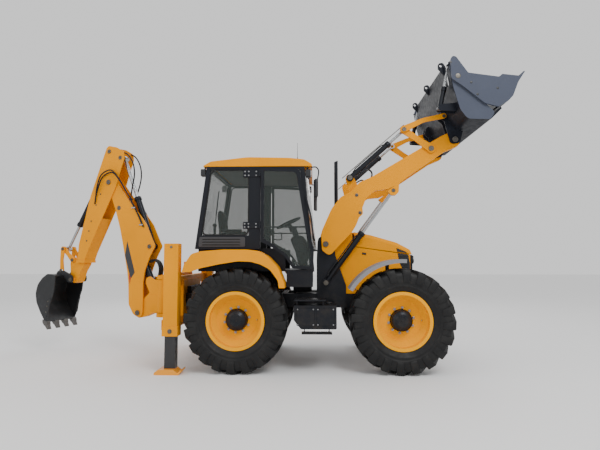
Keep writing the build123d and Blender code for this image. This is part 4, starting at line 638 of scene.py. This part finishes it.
class LOADER_OT_tyres(Operator):
    """Lugged tyres in place of the plain ones"""
    bl_idname = "loader.tyres"
    bl_label = "Tyres"

    def execute(self, context):
        sizes = context.scene.loader_sizes
        shapes = [tyre_shell()] + tyre_lugs(sizes.lug_count, sizes.lug_width, 1) + tyre_lugs(
            sizes.lug_count, sizes.lug_width, -1)
        for axle, x in AXLES.items():
            for name, side in SIDES.items():
                moved = [(points + (x, side * WHEEL_Y, WHEEL_Z), quads, ends)
                         for points, quads, ends in shapes]
                tyre = piece(f"lugged_tyre_{axle}_{name}", moved, "tyre_rubber",
                             f"wheel_{axle}_{name}")
                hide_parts(f"tyre_{axle}_{name}")
        return {"FINISHED"}


class LOADER_OT_hubs(Operator):
    """Hub caps, wheel nuts and valves"""
    bl_idname = "loader.hubs"
    bl_label = "Hubs"

    def execute(self, context):
        sizes = context.scene.loader_sizes
        hub = np.array([0, WHEEL_Y, WHEEL_Z])
        skins = [turned([(0.147, -0.0015), (0.1485, 0.006), (0.1475, 0.016), (0.1405, 0.023),
                         (0.1395, 0.060), (0.1375, 0.088), (0.131, 0.099), (0.100, 0.114),
                         (0.083, 0.1245), (0.080, 0.1275), (0.050, 0.1275), (0.048, 0.1255),
                         (0.002, 0.1255)], hub, OUT, 48),
                 turned([(0.018, 0.124), (0.018, 0.134), (0.014, 0.137), (0.002, 0.137)],
                        hub, OUT, 6)]
        for a in np.arange(6) * math.pi / 3:
            spot = hub + (HUB_BOLT_CIRCLE * math.cos(a), 0.1262, HUB_BOLT_CIRCLE * math.sin(a))
            skins += hex_head(spot, OUT, 0.006, 0.006)
        nuts = [turned([(0.007, 0.0), (0.007, 0.018), (0.004, 0.02), (0.004, 0.034)],
                       hub + (VALVE_CIRCLE, -0.001, 0), OUT, 10)]
        for a in np.arange(sizes.nut_count) * 2 * math.pi / sizes.nut_count + 0.2:
            spot = hub + (sizes.nut_circle * math.cos(a), -0.0015, sizes.nut_circle * math.sin(a))
            nuts += hex_head(spot, OUT, 0.014, 0.019)
            nuts.append(turned([(0.008, 0.015), (0.008, 0.030), (0.006, 0.032)], spot, OUT, 12))
        for axle, x in AXLES.items():
            for name, side in SIDES.items():
                wheel = f"wheel_{axle}_{name}"
                piece(f"hub_cap_{axle}_{name}", on_side(skins, side, x), "dark_paint", wheel)
                piece(f"wheel_nuts_{axle}_{name}", on_side(nuts, side, x), "zinc_plate", wheel)
        return {"FINISHED"}


PINS = {          # body: rows of x, z, |y| of the pin's end, radius; x from the origin
    "loader_arms": [(2.590, 3.097, 0.567, 0.032), (2.935, 3.227, 0.570, 0.034),
                    (1.420, 2.682, 0.525, 0.030), (2.045, 2.492, 0.525, 0.024)],
    "chassis": [(1.065, 1.717, 0.537, 0.034), (1.065, 1.162, 0.537, 0.030)],
    "bucket_links": [(2.200, 3.372, 0.596, 0.026)],
    "loader_bucket": [(2.775, 3.562, 0.593, 0.021)],
}
ARM_PINS = {      # body: rows of distance behind the kingpost, z, |w| of the pin's end, radius
    "boom": [(0.385, 0.667, 0.112, 0.034), (0.190, 1.697, 0.108, 0.028),
             (0.995, 2.747, 0.130, 0.034), (0.795, 2.322, 0.100, 0.030)],
    "dipper": [(1.000, 3.252, 0.126, 0.028), (0.780, 3.137, 0.120, 0.028),
               (1.690, 1.165, 0.160, 0.026), (1.715, 1.485, 0.112, 0.024)],
    "bucket_lever": [(1.900, 1.670, 0.136, 0.022)],
    "digging_bucket": [(1.905, 1.312, 0.156, 0.022)],
}


class LOADER_OT_pins(Operator):
    """Collars on the ends of the pivot pins"""
    bl_idname = "loader.pins"
    bl_label = "Pivot pins"

    def execute(self, context):
        for body, rows in PINS.items():
            skins = [part for x, z, y, r in rows for part in pin_cap((x, y, z), OUT, r)]
            piece(f"pin_collars_{body}", both(skins), "pin_steel", body)
        for body, rows in ARM_PINS.items():
            skins = [part for d, z, w, r in rows for side in BOTH
                     for part in pin_cap(behind(d, z, side * w), side * ACROSS, r)]
            piece(f"pin_collars_{body}", skins, "pin_steel", body)
        return {"FINISHED"}


class LOADER_OT_cab_trim(Operator):
    """Seals, hinge plates, rails, lining, dash pod, vents, mirrors, antenna and rear wiper"""
    bl_idname = "loader.cab_trim"
    bl_label = "Cab trim"

    def execute(self, context):
        seal = [(-0.009, -0.004), (0.009, -0.004), (0.009, 0.003), (0.004, 0.006),
                (-0.004, 0.006), (-0.009, 0.003)]
        quarter = rounded([(-0.655, 1.836), (-0.013, 1.836), (-0.013, 2.742), (-0.536, 2.742)],
                          0.07, 7)
        pane = np.insert(quarter, 1, CAB_SIDE - 0.011, 1)
        screen = bent([(0.736, -0.79, 2.735), (0.80, -0.45, 2.735), (0.822, 0, 2.735),
                       (0.80, 0.45, 2.735), (0.736, 0.79, 2.735)])
        piece("window_seals", both([swept(seal, pane, OUT, wrap=True)])
              + [swept(seal, screen, (0.2, 0, 1))], "seal_rubber")
        leaves, bolts = [], []
        for low, high in ((2.635, 2.745), (1.915, 2.015)):
            leaf = rounded([(-0.085, low), (0.15, low + 0.008), (0.15, high - 0.008),
                            (-0.085, high)], 0.02, 5)
            leaves.append(side_plate(leaf, CAB_SIDE + 0.0008, 0.008, 0.003))
            bolts += bolt_rows((-0.062, -0.01, 0.095), (low + 0.028, high - 0.028),
                               CAB_SIDE + 0.0085, 0.008, 0.007)
        piece("hinge_plates", both(leaves), "dark_paint")
        piece("hinge_bolts", both(bolts), "zinc_plate")
        grab = tube([(0.80, 0.853, 2.36), (0.795, 0.893, 2.35), (0.86, 0.893, 2.05),
                     (0.895, 0.893, 1.78), (0.905, 0.853, 1.76)], 0.011, (1, 0, 0))
        stay = np.array([(0.86, 0.80, 2.785), (0.93, 0.84, 2.775), (0.955, 0.865, 2.74),
                         (0.945, 0.872, 2.60), (0.925, 0.872, 2.50)])
        stays = [tube(stay * (1, side, 1), 0.009, (1, 1, 0)) for side in BOTH]
        piece("cab_rails", both([grab]) + stays, "dark_paint")
        piece("headliner", [slab((-0.50, -0.78, 2.762), (0.66, 0.78, 2.788), 0.008)], "lining")
        pod = rounded([(0.53, 1.80), (0.60, 1.87), (0.74, 1.85), (0.80, 1.74), (0.82, 1.52),
                       (0.77, 1.40), (0.66, 1.40), (0.61, 1.62)], 0.05, 6)
        gauge = turned([(0.070, 0.0), (0.072, 0.010), (0.064, 0.016), (0.058, 0.010),
                        (0.004, 0.010)], (0.705, -0.160, 1.68), (0, -1, 0), 32)
        piece("dash_pod", [pressed(pod, (0, -0.16, 0), (1, 0, 0), UP, (0, 0.32, 0), 0.02), gauge],
              "trim_plastic")
        panel = rounded([(-0.705, 1.668), (-0.055, 1.668), (-0.055, 1.806), (-0.690, 1.806)],
                        0.022, 5)
        piece("quarter_panels", both([side_plate(panel, CAB_SIDE + 0.0006, 0.007, 0.003)]),
              "vent_plastic")
        slat = rounded([(-0.655, -0.007), (-0.115, -0.007), (-0.135, 0.007), (-0.640, 0.007)],
                       0.006, 4)
        piece("quarter_slats", both([side_plate(slat + (0, z), CAB_SIDE + 0.0074, 0.003, 0.001)
                                     for z in (1.697, 1.735, 1.773)]), "seal_rubber")
        bar = tube([(0.185, 0.858, 1.945), (0.20, 0.838, 1.945), (0.24, 0.834, 1.945),
                    (0.40, 0.834, 1.945), (0.60, 0.834, 1.945), (0.78, 0.834, 1.945),
                    (0.80, 0.858, 1.945)], 0.011, UP)
        grip = tube([(0.185, 0.858, 1.85), (0.20, 0.836, 1.845), (0.28, 0.832, 1.83),
                     (0.34, 0.834, 1.85), (0.335, 0.834, 1.90), (0.33, 0.834, 1.94)],
                    0.009, UP, 30)
        for name, side in SIDES.items():
            piece(f"door_rails_{name}", on_side([bar, grip], side), "trim_plastic",
                  f"door_{name}")
        mirror = pressed(rounded(oblong(-0.065, -0.13, 0.065, 0.13), 0.03, 5),
                         (0.905, 0.905, 2.47), (0.25, 1, 0), UP, (0.035, -0.009, 0), 0.01)
        piece("mirrors", both([mirror]), "trim_plastic")
        mast = turned([(0.022, -0.004), (0.022, 0.006), (0.012, 0.02), (0.007, 0.05),
                       (0.0035, 0.07), (0.002, 0.27), (0.0035, 0.273), (0.001, 0.277)],
                      (0.66, -0.62, 2.898), UP, 12)
        piece("antenna", [mast], "trim_plastic")
        piece("rear_wiper", [
            tube([(-0.68, 0.10, 1.90), (-0.655, 0.04, 2.05), (-0.60, -0.08, 2.35)],
                 0.007, OUT, 12),
            tube([(-0.632, -0.02, 2.18), (-0.60, -0.09, 2.36), (-0.567, -0.15, 2.54)],
                 0.009, OUT, 12, 6)], "trim_plastic")
        return {"FINISHED"}


class LOADER_OT_seat(Operator):
    """Crowned seat cushions with piping, arm rests, lever knobs and pedals"""
    bl_idname = "loader.seat"
    bl_label = "Seat"

    def execute(self, context):
        lean = np.array([-0.13, 0, 0.9915])
        face = np.array([0.9915, 0, 0.13])
        pads = {
            "seat_cushion": ((-0.295, 0, 1.706), (1, 0, 0), OUT, UP, (0.242, 0.236, 0.062),
                             (-0.12, -0.02, 0.08)),
            "seat_back": ((-0.520, 0, 2.005), lean, OUT, face, (0.250, 0.216, 0.052),
                          (-0.13, -0.03, 0.07))}
        for name, (centre, length, width, up, halves, channels) in pads.items():
            shell, rim = pad(centre, length, width, up, halves, channels)
            cushion = piece(name, [shell], "seat_cloth", sharp=60)
            if name == "seat_cushion":
                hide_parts("seat")
            piece(f"{name}_piping", [swept(ring_of(0.005, 8), rim, up, wrap=True)], "seal_rubber")
        rest = slab((-0.50, 0.257, 1.905), (-0.19, 0.313, 1.945), 0.012)
        pedal = slab((0.56, 0.15, 1.40), (0.60, 0.25, 1.50), 0.006)
        stalks = [tube([(-0.50, 0.235, 1.86), (-0.49, 0.285, 1.89), (-0.45, 0.285, 1.91)],
                       0.013, UP, 12),
                  tube([(0.60, 0.20, 1.45), (0.68, 0.20, 1.40), (0.72, 0.20, 1.353)],
                       0.008, OUT, 12)]
        knobs = [pedal]
        for x in (-0.10, 0.02):
            stalks.append(tube([(x, 0.47, 1.775), (x + 0.01, 0.47, 1.87), (x + 0.03, 0.47, 1.95)],
                               0.006, OUT, 12))
            knobs.append(turned([(0.008, -0.02), (0.018, -0.012), (0.023, 0.006), (0.018, 0.022),
                                 (0.004, 0.029)], (x + 0.03, 0.47, 1.965), UP, 16))
        for y in (0.180, 0.260):
            knobs.append(turned([(0.012, -0.02), (0.021, -0.008), (0.024, 0.01), (0.018, 0.027),
                                 (0.004, 0.035)], (-0.610, y, 2.005), UP, 16))
        piece("arm_rests", both([rest]), "seal_rubber")
        piece("lever_knobs", both(knobs), "trim_plastic")
        piece("lever_stalks", both(stalks), "zinc_plate")
        return {"FINISHED"}


class LOADER_OT_hood_vents(Operator):
    """Black louvred vents on the hood's sides and the panels below, latches and bolts"""
    bl_idname = "loader.hood_vents"
    bl_label = "Hood vents"

    def execute(self, context):
        upper = rounded([(2.100, 1.664), (2.236, 1.610), (2.262, 1.586), (2.112, 1.607)], 0.008, 4)
        lower = rounded([(2.118, 1.588), (2.268, 1.566), (2.296, 1.440), (2.296, 1.350),
                         (2.190, 1.350), (2.138, 1.460)], 0.012, 4)
        latch = rounded([(1.60, 1.600), (1.66, 1.592), (1.66, 1.562), (1.60, 1.570)], 0.008, 4)
        below = [side_plate(lower, HOOD_SIDE, 0.005, 0.002)]
        for k, z in enumerate(np.linspace(1.385, 1.545, 8)):
            start = 2.182 - 0.052 * k / 7
            below.append(slab((start, 0.376, z - 0.004), (2.284, 0.383, z + 0.004), 0.002))
        piece("hood_vents", both([side_plate(upper, HOOD_SIDE, 0.005, 0.002)]), "trim_plastic",
              "hood")
        piece("cowl_vents", both(below), "trim_plastic")
        piece("hood_latches", both([side_plate(latch, HOOD_SIDE, 0.010, 0.003)]), "trim_plastic")
        piece("cowl_bolts", both(bolt_rows((1.50, 1.78, 2.05), (1.06,), 0.372, 0.008, 0.007)),
              "zinc_plate")
        return {"FINISHED"}


class LOADER_OT_lamps(Operator):
    """Lenses and bezels of work lamps, head lamps and tail lamps"""
    bl_idname = "loader.lamps"
    bl_label = "Lamps"

    def execute(self, context):
        face = rounded(oblong(-0.05, -0.042, 0.05, 0.042), 0.02, 5)
        clear = [pressed(face, (x, 0.79, z), OUT, UP, (way * 0.010, 0, 0), 0.006)
                 for x, z, way in ((0.8505, 2.695, 1), (-0.6855, 2.710, -1))]
        head = (2.3602, 0.270, 1.492)
        bezel = turned([(0.0545, -0.002), (0.0600, -0.002), (0.0600, 0.003), (0.0545, 0.007),
                        (0.0500, 0.003)], head, (1, 0, 0), 40)
        clear.append(turned([(0.0505, 0.0002), (0.0480, 0.005), (0.036, 0.009), (0.018, 0.011),
                             (0.002, 0.0115)], head, (1, 0, 0), 36))
        tail = rounded(oblong(-0.045, -0.06, 0.045, 0.0), 0.012, 4)
        red, amber = (pressed(tail + (0, rise), (-0.842, 0.985, 1.40), OUT, UP,
                              (-0.012, 0, 0.004), 0.005) for rise in (0, 0.066))
        piece("lamp_lenses", both(clear), "clear_lens")
        piece("lamp_bezels", both([bezel]), "zinc_plate")
        piece("tail_lenses", both([red]), "red_lens")
        piece("turn_lenses", both([amber]), "amber_lens")
        return {"FINISHED"}


STEPS = ((0.635, 1.045, 0.800, 1.080, 0.966),      # x from and to, y from and to, z
         (0.730, 1.130, 0.960, 1.110, 0.538))


class LOADER_OT_steps(Operator):
    """Step gratings, lids of tank and battery box with their bolts, and tank caps"""
    bl_idname = "loader.steps"
    bl_label = "Steps and tanks"

    def execute(self, context):
        bars = [slab((x - 0.004, y0 + 0.008, z - 0.001), (x + 0.004, y1 - 0.008, z + 0.007), 0.002)
                for x0, x1, y0, y1, z in STEPS for x in np.linspace(x0 + 0.02, x1 - 0.02, 16)]
        lids = [side_plate(rounded(oblong(x0, 0.615, x1, 0.85), 0.02, 5), TANK_SIDE, 0.006, 0.003)
                for x0, x1 in ((0.66, 0.90), (0.93, 1.165))]
        bolts = bolt_rows((0.675, 0.885, 0.945, 1.15), (0.632, 0.834), TANK_SIDE + 0.006,
                          0.007, 0.006)
        cap = turned([(0.045, 0), (0.046, 0.012), (0.040, 0.02), (0.012, 0.024), (0.002, 0.024)],
                     (1.10, 0.70, 0.885), UP, 24)
        piece("step_gratings", both(bars), "dark_paint")
        piece("tank_lids", both(lids), "dark_paint")
        piece("tank_bolts", both(bolts), "zinc_plate")
        piece("tank_caps", both([cap]), "trim_plastic")
        return {"FINISHED"}


# Places of the rams: base and eye, y, radius and length of the barrel; those of the backhoe
# have base and eye as (distance behind the kingpost, z)
LOADER_RAMS = {
    "lift": ((1.065, 1.162), (2.045, 2.492), 0.480, 0.040, 0.900),
    "tilt": ((1.420, 2.682), (2.200, 3.372), 0.488, 0.038, 0.770),
}
ARM_RAMS = {
    "boom": ((0.210, 1.172), (0.795, 2.322), 0.052, 1.120),
    "dipper": ((0.190, 1.697), (0.780, 3.137), 0.048, 0.860),
    "curl": ((1.000, 3.252), (1.900, 1.670), 0.042, 1.380),
}


def gland_ring(at, way, radius, bore):
    """Ring at the mouth of a ram's barrel, its bore a share of the barrel's radius."""
    return turned([(radius + 0.0065, -0.052), (radius + 0.010, -0.048), (radius + 0.010, -0.012),
                   (radius + 0.004, 0.001), (radius * 0.72, 0.003), (radius * bore, 0.003)],
                  at, way, 36)


def ram_dressing(base, eye, y, radius, length):
    """Gland ring, and a pipe with its two ports along a ram's barrel, in a plane of constant y."""
    base, eye = np.array([base[0], y, base[1]]), np.array([eye[0], y, eye[1]])
    way = (eye - base) / np.linalg.norm(eye - base)
    off = np.cross(way, OUT) * (radius + 0.014)
    route = ((0.12, 0.75), (0.15, 1), (0.19, 1), (length - 0.17, 1), (length - 0.13, 1),
             (length - 0.085, 0.85))
    pipe = tube([base + way * along + off * share for along, share in route], 0.008, OUT, 24)
    ports = [turned([(0.017, 0), (0.017, radius * 0.28), (0.013, radius * 0.34),
                     (0.002, radius * 0.34)], base + way * at + off * 0.62, off, 6)
             for at in (0.105, length - 0.075)]
    return gland_ring(base + way * length, way, radius, 0.60), [pipe] + ports


class LOADER_OT_rams(Operator):
    """Gland rings of all rams but the clam's, ports and pipes of the loader's, and the bucket's
    level rods
    """
    bl_idname = "loader.rams"
    bl_label = "Rams"

    def execute(self, context):
        for name, row in LOADER_RAMS.items():
            gland, pipes = ram_dressing(*row)
            piece(f"{name}_glands", both([gland]), "dark_paint", f"{name}_barrels")
            piece(f"{name}_pipes", both(pipes), "trim_plastic", f"{name}_barrels")
        for name, (base, eye, radius, length) in ARM_RAMS.items():
            way = behind(*eye) - behind(*base)
            way /= np.linalg.norm(way)
            gland = gland_ring(behind(*base) + way * length, way, radius, 0.62)
            piece(f"{name}_gland", [gland], "dark_paint", f"{name}_barrel")
        y = LEVEL_ROD_Y
        rod = tube([(1.304, y, 2.667), (1.75, y, 3.058), (2.206, y, 3.449)], 0.006, OUT, 8)
        piece("level_rods", both([rod]), "pin_steel", "tilt_barrels")
        return {"FINISHED"}


# Bolts in the side plates of the loader arms and of the clam jaw, as (x, z)
ARM_BOLTS = [(1.514, 2.425), (1.562, 2.168)]
CHEEK_BOLTS = [(2.986, 3.842), (3.064, 3.679), (3.330, 3.760), (2.720, 4.120)]


class LOADER_OT_wear_parts(Operator):
    """Bolts and hoses of the loader arms, bucket bolts, tooth caps, side cutters, leg bolts"""
    bl_idname = "loader.wear_parts"
    bl_label = "Wear parts"

    def execute(self, context):
        arm_bolts, edge, caps, heads = [], [], [], []
        for x, z in ARM_BOLTS:
            arm_bolts.append(turned([(0.026, -0.002), (0.026, 0.004), (0.023, 0.006),
                                     (0.018, 0.006)], (x, 0.525, z), OUT, 24))
            arm_bolts += hex_head((x, 0.530, z), OUT, 0.012, 0.012)
        hoses = [tube([(1.725, y, 2.676), (1.744, y, 2.722), (1.735, y, 2.775), (1.690, y, 2.806),
                       (1.640, y, 2.788), (1.545, y, 2.712)], 0.010, OUT) for y in (0.458, 0.484)]
        flush = turned([(0.034, 0.0), (0.034, 0.0022), (0.031, 0.0032), (0.002, 0.0032)],
                       (2.815, 1.1662, 3.932), OUT, 32)
        cheek = [turned([(0.017, 0.0), (0.017, 0.0011), (0.015, 0.0016), (0.002, 0.0016)],
                        (x, 1.1681, z), OUT, 20) for x, z in CHEEK_BOLTS]
        for y in np.linspace(-1.05, 1.05, 12):
            edge += hex_head((3.6500, y, 3.9160), (0.839, 0, -0.544), 0.011, 0.009)
        piece("arm_bolts", both(arm_bolts), "pin_steel", "loader_arms")
        piece("arm_hoses", both(hoses), "hose_rubber", "loader_arms")
        piece("clam_pin_caps", both([flush]), "pin_steel", "loader_bucket")
        piece("clam_bolts", both(cheek) + edge, "digging_steel", "clam_jaw")
        tip = [(2.056, 0.474), (1.996, 0.450), (1.9632, 0.3622), (1.9868, 0.3572), (2.067, 0.452)]
        seat = [(2.086, 0.520), (2.000, 0.488), (1.986, 0.430), (2.045, 0.416), (2.088, 0.470)]
        for w in (np.arange(4) - 1.5) * TOOTH_PITCH:
            caps.append(arm_plate(rounded(tip, 0.006, 3), w - 0.0375, 0.075, 0.004))
            caps.append(arm_plate(rounded(seat, 0.010, 3), w - 0.043, 0.086, 0.005))
        cutter = rounded([(2.012, 0.560), (1.978, 0.600), (1.956, 0.742), (1.925, 0.850),
                          (1.985, 0.865), (2.020, 0.742), (2.050, 0.580)], 0.012, 4)
        plates = [arm_plate(cutter, side * CUTTER_W, side * 0.012, 0.003) for side in BOTH]
        for side in BOTH:
            for d, z in ((1.972, 0.815), (1.990, 0.735), (2.008, 0.640)):
                spot = behind(d, z, side * (CUTTER_W + 0.0113))
                heads += hex_head(spot, side * ACROSS, 0.010, 0.009)
        piece("tooth_caps", caps, "tooth_steel", "digging_bucket")
        piece("side_cutters", plates, "digging_steel", "digging_bucket")
        piece("side_cutter_bolts", heads, "pin_steel", "digging_bucket")
        leg_bolts = (hex_head((-0.995, 1.1462, 0.557), OUT, 0.022, 0.016)
                     + hex_head((-0.995, 1.1402, 1.660), OUT, 0.013, 0.011))
        piece("leg_bolts", both(leg_bolts), "pin_steel")
        return {"FINISHED"}


def free_hoses(name, routes, count):
    """Hoses along routes of (d, z, w) behind the kingpost, with no parent."""
    profile = ring_of(bpy.context.scene.loader_sizes.hose_radius, 12)
    hoses = piece(name, [swept(profile, bent([behind(*row) for row in route], count), ACROSS)
                         for route in routes], "hose_rubber", "boom")
    hoses.parent = None
    return hoses


# Bolts in the dipper's side plates and the route of the boom's steel lines, as (d, z)
DIPPER_BOLTS = [(1.155, 2.560), (1.240, 2.385), (1.330, 2.120), (1.372, 1.960), (1.412, 1.800)]
BOOM_ROUTE = [(0.30, 2.00), (0.38, 2.16), (0.53, 2.40), (0.57, 2.46)]


class LOADER_OT_backhoe_lines(Operator):
    """Hoses and steel lines of the backhoe with their clamps, and the dipper's bolts"""
    bl_idname = "loader.backhoe_lines"
    bl_label = "Backhoe lines"

    def execute(self, context):
        over = []
        for w in (-0.150, -0.178):
            lift = (w + 0.150) * -1.2
            over.append([
                (0.53, 2.44, -0.106), (0.60, 2.52, -0.118), (0.74, 2.74 + lift, w),
                (0.92, 2.90 + lift, w), (1.09, 2.84 + lift, w), (1.18, 2.66, w),
                (1.235, 2.50, -0.140), (1.26, 2.40, -0.128)])
        hoses = free_hoses("pivot_hoses", over, 60)
        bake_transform(hoses)
        down = [[
            (0.735, 3.225, w), (0.665, 3.190, w), (0.580, 3.090, w), (0.530, 2.960, w),
            (0.522, 2.820, w), (0.545, 2.700, w), (0.570, 2.600, w * 0.9), (0.590, 2.500, w * 0.8)]
            for w in (-0.086, 0.086)]
        hoses = free_hoses("ram_hoses", down, 60)
        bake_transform(hoses)
        foot = [[
            (0.070, 1.175, w), (0.050, 1.260, w), (0.042, 1.365, w), (0.085, 1.455, w),
            (0.160, 1.490, w), (0.250, 1.450, w)] for w in (-0.046, -0.016, 0.016, 0.046)]
        hoses = free_hoses("foot_hoses", foot, 50)
        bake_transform(hoses)
        dots, lines, clamps = [], [], []
        for side in BOTH:
            for d, z in DIPPER_BOLTS:
                dots += hex_head(behind(d, z, side * DIPPER_SIDE), side * ACROSS, 0.010, 0.008)
        piece("dipper_bolts", dots, "pin_steel", "dipper")
        clamp = oblong(-0.03, -0.012, 0.04, 0.012)
        for w in (-0.109, 0.109):
            for step in (0.0, 0.024):
                lines.append(tube([behind(d + step, z + step * 0.6, w) for d, z in BOOM_ROUTE],
                                  0.008, ACROSS, 20))
            for d, z in ((0.335, 2.04), (0.49, 2.315)):
                clamps.append(arm_plate(rounded(clamp + (d + 0.01, z), 0.006, 3), w - 0.012, 0.024,
                                        0.004))
        piece("boom_lines", lines, "hose_rubber", "boom")
        piece("boom_clamps", clamps, "zinc_plate", "boom")
        return {"FINISHED"}


class LOADER_OT_decals(Operator):
    """Blank plates where a machine carries its markings"""
    bl_idname = "loader.decals"
    bl_label = "Blank plates"

    def execute(self, context):
        dark = rounded([(0.615, 1.790), (0.456, 1.292), (0.527, 1.196), (0.566, 1.290),
            (0.653, 1.560)], 0.01, 3)
        red = rounded([(0.560, 1.285), (0.530, 1.195), (0.546, 1.10), (0.566, 1.22)], 0.004, 3)
        for name, outline, finish in (("dark", dark, "decal_grey"), ("red", red, "decal_red")):
            piece(f"boom_plate_{name}", [arm_plate(outline, side * BOOM_SIDE, side * 0.0012, 0.0004)
                                         for side in BOTH], finish, "boom")
        return {"FINISHED"}


# The camera is the photo's, from the perspective that the size was taken from
LENS = 28.8                          # mm on a sensor 36 mm wide
CAMERA_PLACE = (0.8948, -7.45, 1.502)
CAMERA_UP, CAMERA_LEFT = 4.052, 1.666
WORLD_LIGHT = 0.95
LIT_POINT = (0.8, 0, 1.5)
LIGHTS = (                           # name, place, size, watts
    ("key", (4.5, -7.5, 8.5), 4.0, 520), ("fill", (-6.5, -6.0, 5.0), 5.0, 120),
    ("back", (0.0, 8.0, 7.0), 7.0, 260))
FLOOR_REACH = 40


class LOADER_OT_stage(Operator):
    """Floor, lights and camera"""
    bl_idname = "loader.stage"
    bl_label = "Studio"

    def execute(self, context):
        scene = context.scene
        reach = np.linspace(-FLOOR_REACH, FLOOR_REACH, 5)
        x, y = np.meshgrid(reach, reach, indexing="ij")
        index = np.arange(25).reshape(5, 5)
        corners = [index[:-1, :-1], index[1:, :-1], index[1:, 1:], index[:-1, 1:]]
        points = np.stack([x, y, np.zeros_like(x)], -1).reshape(-1, 3)
        mesh = bpy.data.meshes.new("floor")
        mesh.from_pydata(points.tolist(), [], np.stack(corners, -1).reshape(-1, 4).tolist())
        mesh.materials.append(finished("studio_floor"))
        floor = added("floor", mesh)
        world = bpy.data.worlds.new("studio")
        world.use_nodes = True
        sky = world.node_tree.nodes["Background"].inputs
        sky["Color"].default_value = (1.0, 1.0, 1.0, 1)
        sky["Strength"].default_value = WORLD_LIGHT
        scene.world = world
        for name, place, size, power in LIGHTS:
            light = bpy.data.lights.new(name, "AREA")
            light.size = size
            light.energy = power
            lamp = added(name, light)
            lamp.location = place
            aim = np.array(LIT_POINT) - np.array(place)
            flat = math.hypot(aim[0], aim[1])
            lamp.rotation_euler = (math.pi / 2 + math.atan2(aim[2], flat), 0,
                                   math.atan2(-aim[0], aim[1]))
        view = bpy.data.cameras.new("camera")
        view.sensor_width = 36
        view.lens = LENS
        view.clip_end = 200
        camera = added("camera", view)
        camera.location = CAMERA_PLACE
        camera.rotation_euler = (math.radians(90 + CAMERA_UP), 0, math.radians(CAMERA_LEFT))
        scene.camera = camera
        return {"FINISHED"}


OPERATORS = [
    LOADER_OT_finishes, LOADER_OT_tyres, LOADER_OT_hubs, LOADER_OT_pins, LOADER_OT_cab_trim,
    LOADER_OT_seat, LOADER_OT_hood_vents, LOADER_OT_lamps, LOADER_OT_steps, LOADER_OT_rams,
    LOADER_OT_wear_parts, LOADER_OT_backhoe_lines, LOADER_OT_decals, LOADER_OT_stage]


class LOADER_PT_panel(Panel):
    """Sizes, colours and pieces of the backhoe loader"""
    bl_label = "Backhoe loader"
    bl_idname = "LOADER_PT_panel"
    bl_space_type = "VIEW_3D"
    bl_region_type = "UI"
    bl_category = "Backhoe loader"

    def draw(self, context):
        for group in (context.scene.loader_sizes, context.scene.loader_colours):
            for name in group.__annotations__:
                self.layout.prop(group, name)
        for operator in OPERATORS:
            self.layout.operator(operator.bl_idname)


CLASSES = [LoaderSizes, LoaderColours] + OPERATORS + [LOADER_PT_panel]


def register():
    for cls in CLASSES:
        bpy.utils.register_class(cls)
    bpy.types.Scene.loader_sizes = PointerProperty(type=LoaderSizes)
    bpy.types.Scene.loader_colours = PointerProperty(type=LoaderColours)


def unregister():
    del bpy.types.Scene.loader_sizes
    del bpy.types.Scene.loader_colours
    for cls in reversed(CLASSES):
        bpy.utils.unregister_class(cls)


def main():
    """Build everything in order."""
    register()
    for operator in OPERATORS:
        section, name = operator.bl_idname.split(".")
        getattr(getattr(bpy.ops, section), name)()


if __name__ == "__main__":
    main()
